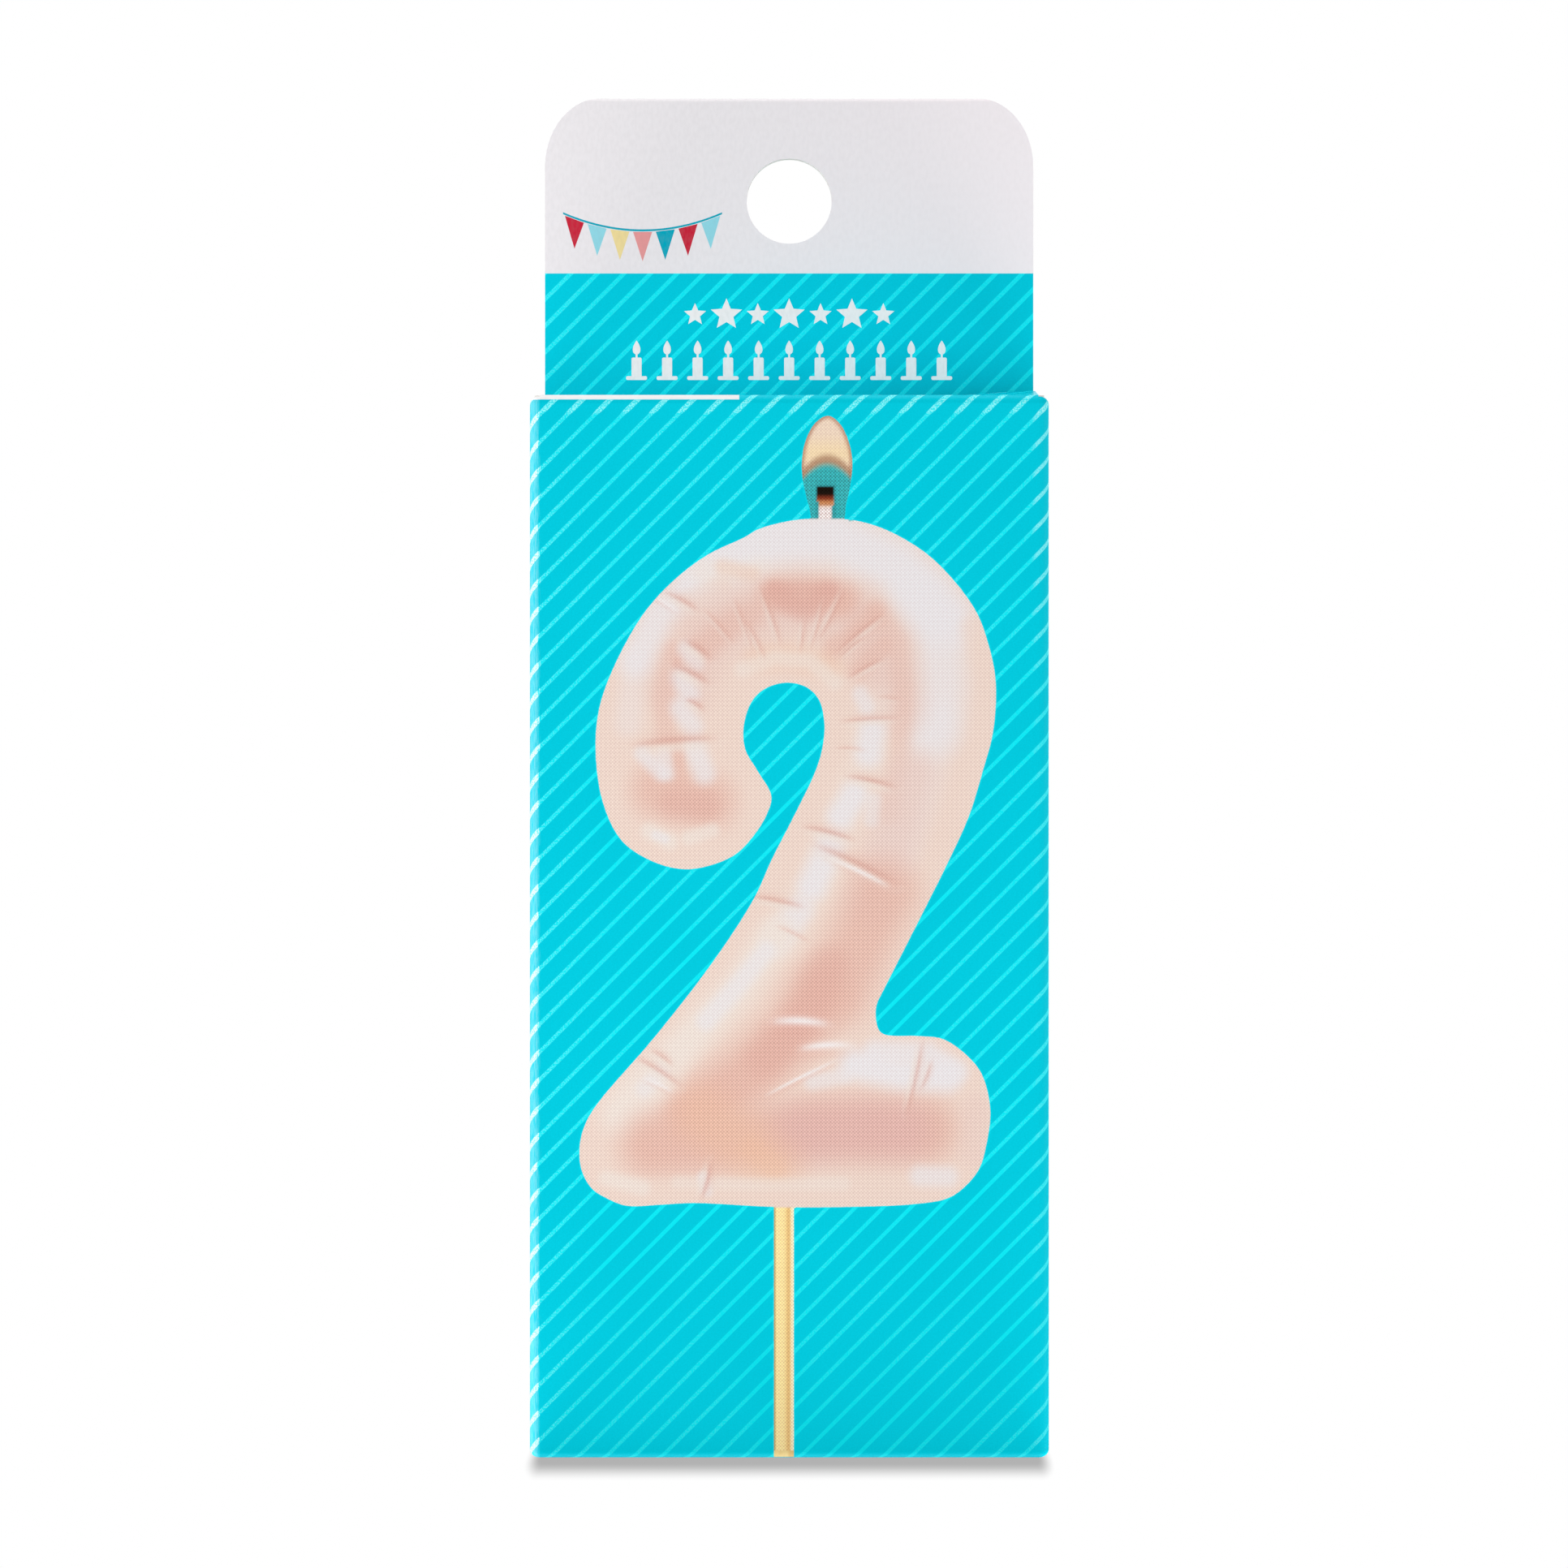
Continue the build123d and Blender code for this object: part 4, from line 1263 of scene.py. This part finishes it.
def make_lid(end):
    """A lid and its tuck flap, without their folds."""
    _, lid_v, tuck_v, flap_v = lid_marks(end)
    step = RELIEF - FOLD_R
    half = [(FLAT_X, lid_v), (FLAT_X, lid_v + step), (LID_HALF, lid_v + step + 0.4), (LID_HALF, tuck_v - 0.6)]
    half += [(LID_HALF - 0.6, tuck_v), (TUCK_HALF, tuck_v)]
    outline = half + [(-u, v) for u, v in reversed(half)]
    patch = [(1, rectangle(BLANK_X[0], lid_v, BLANK_X[1], tuck_v - 2.5))] if end == "top" else []
    make_lid_board(end, f"{end}_lid_sheet", f"{end}_lid", outline, patch, [*SHEET, INK_WHITE])
    far = flap_v + TUCK_LENGTH
    corners = [(-TUCK_HALF, flap_v), (TUCK_HALF, flap_v), (TUCK_HALF, far), (-TUCK_HALF, far)]
    outline = rounded(corners, [0, 0, TUCK_CORNER, TUCK_CORNER])
    make_lid_board(end, f"{end}_tuck_sheet", f"{end}_tuck_flap", outline, [], SHEET)


def make_lid_folds(end):
    """The two folds that a lid and its tuck flap hang from."""
    sign = 1 if end == "top" else -1
    bend = lid_bend(end)
    fold_v, lid_v, tuck_v, flap_v = lid_marks(end)
    level = HEIGHT if end == "top" else 0.0
    rear = FRONT + LID_REACH - FOLD_R
    us = lines_between(-FLAT_X, FLAT_X, 2.0)
    vs = arc_lines(*sorted((sign * fold_v, sign * lid_v)), 10)
    start, finish = (0, FRONT, level - sign * FOLD_R), (0, FRONT + FOLD_R, level)
    sheet = [lid_fold_print(end), PLAIN, EDGE]
    strip(f"{end}_lid_crease", us, vs, bend, start, finish, sheet)
    us = lines_between(-TUCK_HALF, TUCK_HALF, 2.0)
    vs = arc_lines(*sorted((sign * tuck_v, sign * flap_v)), 10)
    lean = radians(90 + TUCK_LEAN)
    start = (0, rear, level)
    finish = (0, rear + FOLD_R * sin(lean), level - sign * FOLD_R * (1 - cos(lean)))
    strip(f"{end}_tuck_crease", us, vs, bend, start, finish)


def lid_fold_print(end):
    """A lid's fold: the top one's is partly blank, and the printed stick ends on the bottom one's."""
    look, sheet = print_look(f"printed_{end}_fold")
    colour, fibres, _ = striped(look, sheet)
    if end == "top":
        colour = blank_lid(look, sheet, colour)
    else:
        u, v, _ = look.separate(sheet)
        middle, half = (PRINT_STICK[0] + PRINT_STICK[1]) / 2, (PRINT_STICK[1] - PRINT_STICK[0]) / 2
        off = look.size(look.minus(u, middle))
        inside = look.times(look.ramp(off, half + 0.04, half - 0.04), look.ramp(v, -0.1, 0.0))
        wood = look.mix(look.ramp(fibres, 0.3, 0.7), ink(240, 212, 144), ink(246, 222, 156))
        wood = look.mix(look.ramp(u, middle + 0.35, middle + 0.75), wood, ink(232, 196, 130))
        colour = look.mix(inside, colour, wood)
    return on_paper(look, sheet, colour)


def make_dust_flap(end, side):
    sign = 1 if end == "top" else -1
    bend = dust_bend(end, side)
    fold_v = DUST_V if end == "top" else -(DUST_DROP + FOLD_R)
    flap_v = fold_v + FOLD_ARC
    reach = flap_v + DUST_FLAT
    root = flap_v - FOLD_R
    corners = [
        (FRONT + DUST_FRONT + DUST_SLOPE * FOLD_R, flap_v),
        (FRONT + DUST_FRONT + DUST_SLOPE * DUST_REACH, reach),
        (FRONT + DUST_BACK_TIP, reach),
        (FRONT + DUST_BACK, root + DUST_SHOULDER),
        (FRONT + DUST_BACK, flap_v),
    ]
    outline = rounded(corners, [0, 1.5, 1.5, 3.0, 0])
    flat = cut([(side_u(side, y), sign * v) for y, v in outline])
    name = f"{end}_{side}_dust_flap"
    body = board(f"{end}_{side}_dust_sheet", flat, bend, [PLAIN, PLAIN, EDGE])
    ride(body, name, "plain_board", name)
    root_y = FRONT + DUST_FRONT + DUST_SLOPE * FOLD_R * 0.5
    us = arc_lines(*sorted((side_u(side, root_y), side_u(side, FRONT + DUST_BACK))), 4)
    vs = arc_lines(*sorted((sign * fold_v, sign * flap_v)), 10)
    outward = 1 if side == "right" else -1
    z = HEIGHT - DUST_DROP if end == "top" else DUST_DROP
    start, finish = (outward * SIDE, 0, z - sign * FOLD_R), (outward * (SIDE - FOLD_R), 0, z)
    crease = f"{end}_{side}_dust_crease"
    strip(crease, us, vs, bend, start, finish)


# ---------------------------------------------------------------- the candle

CELL = 0.45  # the wax is modelled on a grid this fine
WAX_HALF = 6.6
SWEEPS = 3000  # enough for the film to come to rest
SMOOTHING = [0.5, -0.52] * 3 + [0.5]


def inflate():
    """The balloon's half thickness, squared, on a grid over the numeral: it bulges like a film.

    It solves the membrane equation inside the outline, with the edge at zero wherever it crosses
    between the grid's points.
    """
    outline = smooth_outline(NUMERAL, 5)
    xs = np.arange(outline[:, 0].min() - 3 * CELL, outline[:, 0].max() + 3 * CELL, CELL)
    zs = np.arange(outline[:, 1].min() - 3 * CELL, outline[:, 1].max() + 3 * CELL, CELL)
    x, z = np.meshgrid(xs, zs, indexing="ij")
    depth = depth_inside(np.stack([x.ravel(), z.ravel()], -1), outline).reshape(x.shape)
    inside = depth > 0
    arms = []
    for axis in (0, 1):
        pair = []
        for step in (1, -1):
            beside = np.roll(depth, step, axis)
            reach = np.where(beside > 0, 1.0, np.clip(depth / np.maximum(depth - beside, 1e-9), 0.05, 1.0))
            pair.append((step, axis, reach))
        total = pair[0][2] + pair[1][2]
        arms += [(step, axis, 2 / (reach * total)) for step, axis, reach in pair]
    weight = sum(pull for _, _, pull in arms)
    height = np.where(inside, depth * 4, 0.0)
    for _ in range(SWEEPS):
        pulled = sum(pull * np.roll(height, step, axis) for step, axis, pull in arms)
        height = np.where(inside, (pulled + CELL**2) / weight, 0.0)
    slope = np.where(inside, height / np.maximum(depth, 0.3 * CELL), 0.0)
    near = sum(np.roll(inside, step, axis) for step, axis, _ in arms)
    steep = sum(np.roll(slope, step, axis) for step, axis, _ in arms)
    outside = np.where(near > 0, steep / np.maximum(near, 1) * depth, -1.0)
    return xs, zs, np.where(inside, height, outside)


def interpolate(xs, zs, values, points):
    """Values on the grid, read between its points."""
    i = np.clip((points[:, 0] - xs[0]) / CELL, 0, len(xs) - 2 + 0.999)
    k = np.clip((points[:, 1] - zs[0]) / CELL, 0, len(zs) - 2 + 0.999)
    a, b = i.astype(int), k.astype(int)
    s, t = i - a, k - b
    low = values[a, b] * (1 - s) + values[a + 1, b] * s
    high = values[a, b + 1] * (1 - s) + values[a + 1, b + 1] * s
    return low * (1 - t) + high * t


def surface_net(field, origin):
    """Points and quads of the surface where a field on a cubic grid passes through zero."""
    inside = field > 0
    corners = [(a, b, c) for a in (0, 1) for b in (0, 1) for c in (0, 1)]
    shape = tuple(n - 1 for n in field.shape)
    total = np.zeros(shape)
    centre = np.zeros(shape + (3,))

    def block(array, offset):
        return array[tuple(slice(o, o + n) for o, n in zip(offset, shape))]

    for p in corners:
        for axis in range(3):
            if p[axis]:
                continue
            q = tuple(1 if i == axis else c for i, c in enumerate(p))
            fp, fq = block(field, p), block(field, q)
            crossing = (fp > 0) != (fq > 0)
            t = np.where(crossing, fp / np.where(crossing, fp - fq, 1), 0)
            for i in range(3):
                place = p[i] + (t if i == axis else 0)
                centre[..., i] += np.where(crossing, place, 0)
            total += crossing
    has = total > 0
    index = np.full(shape, -1)
    index[has] = np.arange(has.sum())
    where = np.argwhere(has)
    points = origin + CELL * (where + centre[has] / total[has][:, None])
    quads = []
    for axis in range(3):
        b, c = (axis + 1) % 3, (axis + 2) % 3
        upper = np.roll(inside, -1, axis)
        crossing = inside != upper
        crossing[tuple(slice(-1, None) if i == axis else slice(None) for i in range(3))] = False
        cells = np.argwhere(crossing)
        cells = cells[(cells[:, b] > 0) & (cells[:, c] > 0)]
        out = inside[tuple(cells.T)]
        loop = []
        for db, dc in ((0, 0), (1, 0), (1, 1), (0, 1)):
            cell = cells.copy()
            cell[:, b] -= db
            cell[:, c] -= dc
            loop.append(index[tuple(cell.T)])
        loop = np.stack(loop, -1)
        loop[~out] = loop[~out][:, ::-1]
        quads.append(loop)
    return points, np.concatenate(quads)


def pleats_at(points):
    """How far the creases draw the wax in at each point, below 0 where it bulges beside them."""
    pleats = np.zeros(len(points))
    for start, end, width in CREASES:
        valley, lip = crease_profile(points, (start, end, 2.0 * width))
        pleats += valley - 0.35 * lip
    return pleats


def smoothed(points, quads):
    """The points of a closed surface, moved in and out so that it is smooth but keeps its size."""
    ahead = np.concatenate([quads[:, k] for k in range(4)])
    behind = np.concatenate([quads[:, (k + 1) % 4] for k in range(4)])
    degree = np.bincount(ahead, minlength=len(points))
    degree = degree + np.bincount(behind, minlength=len(points))
    for factor in SMOOTHING:
        sums = np.zeros_like(points)
        for i in range(3):
            sums[:, i] += np.bincount(ahead, points[behind, i], len(points))
            sums[:, i] += np.bincount(behind, points[ahead, i], len(points))
        points = points + factor * (sums / degree[:, None] - points)
    return points


def make_wax():
    """The numeral itself: a balloon-shaped 2, gathered at its creases."""
    xs, zs, height = inflate()
    thick = np.sqrt(np.maximum(height, 0))
    swell = WAX_HALF / thick.max()
    plan = np.stack(np.meshgrid(xs, zs, indexing="ij"), -1).reshape(-1, 2)
    pleats = pleats_at(plan).reshape(height.shape)
    half = thick * swell * (1 - 0.09 * np.clip(pleats, -0.6, 1.2))
    squared = np.where(height > 0, half**2, height * swell**2)[:, None, :]
    ys = np.arange(-WAX_HALF - 3 * CELL, WAX_HALF + 3 * CELL, CELL)
    across = (ys**2)[None, :, None]
    field = (squared - across) / (2 * np.sqrt(np.maximum(squared, across) + 0.5))
    points, quads = surface_net(field, np.array([xs[0], ys[0], zs[0]]))
    points = smoothed(points, quads)
    # How deep in a crease each point lies, which the wax's material darkens as painted shade
    fold = np.clip(interpolate(xs, zs, pleats, points[:, [0, 2]]), 0, 1)
    faces = quads.tolist()
    layers = {"fold": fold}
    piece = loops_to_mesh("wax_two", points, faces, [pearl_wax()], np.zeros(len(faces)), None, layers)
    return ride(piece, "candle", "pearl_wax", "wax_numeral")


def tubes(name, routes, radii, sides, material):
    """Closed round tubes as one piece, each through points in mm with a radius at each."""
    points, faces = [], []
    for line, sizes in zip(routes, radii):
        line = np.asarray(line, float)
        first = len(points)
        ahead = np.gradient(line, axis=0)
        ahead /= np.linalg.norm(ahead, axis=1)[:, None]
        side = np.cross(ahead, [0.0, 1.0, 0.0])
        side /= np.linalg.norm(side, axis=1)[:, None]
        other = np.cross(ahead, side)
        for centre, a, b, size in zip(line, side, other, sizes):
            for k in range(sides):
                turn = 2 * pi * k / sides
                points.append(centre + size * (a * cos(turn) + b * sin(turn)))
        rows = len(line)
        for r in range(rows - 1):
            for k in range(sides):
                a, b = first + r * sides + k, first + r * sides + (k + 1) % sides
                faces.append([a, b, b + sides, a + sides])
        faces.append([first + k for k in reversed(range(sides))])
        faces.append([first + (rows - 1) * sides + k for k in range(sides)])
    piece = loops_to_mesh(name, points, faces, [material], np.zeros(len(faces)), None, {})
    piece.data.set_sharp_from_angle(angle=radians(50))
    return piece


def make_stick():
    """The round wooden stick, with softened ends and a hand-turned unevenness."""
    low, high = STICK_BOX
    radius = (high[0] - low[0]) / 2
    x = (high[0] + low[0]) / 2
    zs = np.concatenate([[low[2], low[2] + 0.12], np.linspace(low[2] + 0.3, high[2], 46)])
    rng = np.random.default_rng(3)
    sizes = radius - 0.02 + np.interp(zs, np.linspace(low[2], high[2], 12), rng.random(12)) * 0.02
    sizes[0] = radius - 0.2
    sizes[1] = radius - 0.06
    line = [(x, 0, z) for z in zs]
    piece = tubes("wooden_stick_turned", [line], [sizes], 32, stick_wood())
    return ride(piece, "candle", "stick_wood", "wooden_stick")


def make_wick():
    """The braided wick: three waxed strands wound round each other."""
    low, high = WICK_BOX
    x = (high[0] + low[0]) / 2
    strand = 0.42
    orbit = (high[0] - low[0]) / 2 - strand
    zs = np.linspace(high[2] - 9.0, high[2] - 0.05, 60)
    pitch = 3.4
    routes, radii = [], []
    for k in range(3):
        turn = 2 * pi * (zs / pitch + k / 3)
        routes.append(np.stack([x + orbit * np.cos(turn), orbit * np.sin(turn), zs], -1))
        sizes = np.full(len(zs), strand)
        sizes[-1], sizes[-2] = strand * 0.55, strand * 0.9
        radii.append(sizes)
    piece = tubes("braided_wick", routes, radii, 14, cotton())
    return ride(piece, "candle", "cotton_wick", "wick")


# ---------------------------------------------------------------- camera, light and floor

CAMERA_PLACE = (-0.6, FRONT - 435.0, 75.2)
LENS_MM = 89.6


def make_camera():
    data = bpy.data.cameras.new("camera")
    data.lens, data.sensor_width = LENS_MM, 36.0
    data.clip_start, data.clip_end = 0.01, 20.0
    camera = bpy.data.objects.new("camera", data)
    camera.location = Vector(CAMERA_PLACE) * MM
    camera.rotation_euler = (radians(90), 0, 0)
    bpy.context.scene.collection.objects.link(camera)
    bpy.context.scene.camera = camera


AIM = (0, 0, 80)  # near the middle of the carton

# The lights: name, place, size and power of each
SOFTBOXES = [
    ("key_left", (-640, -520, 260), (420, 620), 3.44),
    ("fill_right", (900, -760, 20), (1300, 1100), 2.41),
    ("edge_left", (-520, -60, 90), (180, 620), 1.12),
    ("edge_right", (520, -50, 90), (180, 620), 0.85),
    ("top", (-60, 60, 760), (420, 420), 1.8),
    ("under", (0, -45, -420), (600, 420), 4.6),
    ("rear", (260, 700, 300), (700, 700), 2.2),
]
WORLD_FILL = 0.42


def make_softbox(name, place, size, power):
    """A rectangular area light."""
    data = bpy.data.lights.new(name, "AREA")
    data.shape = "RECTANGLE"
    data.size, data.size_y = size[0] * MM, size[1] * MM
    data.energy = power
    light = bpy.data.objects.new(name, data)
    light.location = Vector(place) * MM
    direction = (Vector(AIM) - Vector(place)) * MM
    light.rotation_euler = direction.to_track_quat("-Z", "Y").to_euler()
    bpy.context.scene.collection.objects.link(light)


def make_light():
    for softbox in SOFTBOXES:
        make_softbox(*softbox)
    world = bpy.data.worlds.new("studio")
    bpy.context.scene.world = world
    world.use_nodes = True
    nodes, links = world.node_tree.nodes, world.node_tree.links
    mix, path = nodes.new("ShaderNodeMixShader"), nodes.new("ShaderNodeLightPath")
    fill, seen = nodes["Background"], nodes.new("ShaderNodeBackground")
    for slot, (background, strength) in enumerate(((fill, WORLD_FILL), (seen, 1.0)), 1):
        background.inputs["Color"].default_value = (1, 1, 1, 1)
        background.inputs["Strength"].default_value = strength
        links.new(background.outputs[0], mix.inputs[slot])
    links.new(path.outputs["Is Camera Ray"], mix.inputs["Fac"])
    links.new(mix.outputs[0], nodes["World Output"].inputs["Surface"])
    world.cycles_visibility.glossy = False
    view = bpy.context.scene.view_settings
    view.view_transform = "Standard"
    view.look = "None"


FLOOR_HALF = 3000.0


def make_floor():
    """A white floor, clear but for a painted soft contact shadow round the carton and a fainter painted
    shadow behind it, so that an opened bottom shows.
    """
    corners = [(*corner, -0.05) for corner in rectangle(-FLOOR_HALF, -FLOOR_HALF, FLOOR_HALF, FLOOR_HALF)]
    look = Look("floor_painted_shadow")
    x, y, _ = look.separate(look.millimetres())

    def beyond(value, edge):
        return look.most(look.minus(look.size(value), edge), 0.0)

    beside = look.times(beyond(x, SIDE - 1.7), 6.5)
    before = beyond(y, BACK - 0.3)
    off = look.math("SQRT", look.plus(look.times(beside, beside), look.times(before, before)))
    # A painted contact shadow, darkest against the carton and gone 14.5 mm out
    painted_contact_shadow = look.ramp(off, 2.5, 14.5, 0.445, 1.0)
    # rear: a faint painted shadow behind the carton
    rear = [look.ramp(y, 5.0, 14.0), look.ramp(y, 75.0, 10.0), look.ramp(look.size(x), 31.0, 12.0)]
    light = look.times(painted_contact_shadow, look.minus(1.0, look.times(*rear, 0.3)))
    tint = look.node("ShaderNodeCombineColor", light, light, light).outputs[0]
    clear = look.node("ShaderNodeBsdfTransparent", tint)
    output = look.tree.nodes["Material Output"]
    look.tree.links.new(clear.outputs[0], output.inputs["Surface"])
    look.tree.nodes.remove(look.shader)
    floor = loops_to_mesh("floor", corners, [[0, 1, 2, 3]], [look.material], [0], None, {})


# ---------------------------------------------------------------- the whole object

make_camera()
make_light()
make_floor()
make_front()
for side in ("left", "right"):
    make_side(side)
make_back()
make_glue_flap()
make_tab_front()
for end in ("top", "bottom"):
    make_lid(end)
    make_lid_folds(end)
    for side in ("left", "right"):
        make_dust_flap(end, side)
make_wax()
make_stick()
make_wick()
glue = glue_film()
for node in ("seam_glue", "hang_tab_glue"):
    film = frame["nodes"][node].data
    film.materials.clear()
    film.materials.append(glue)
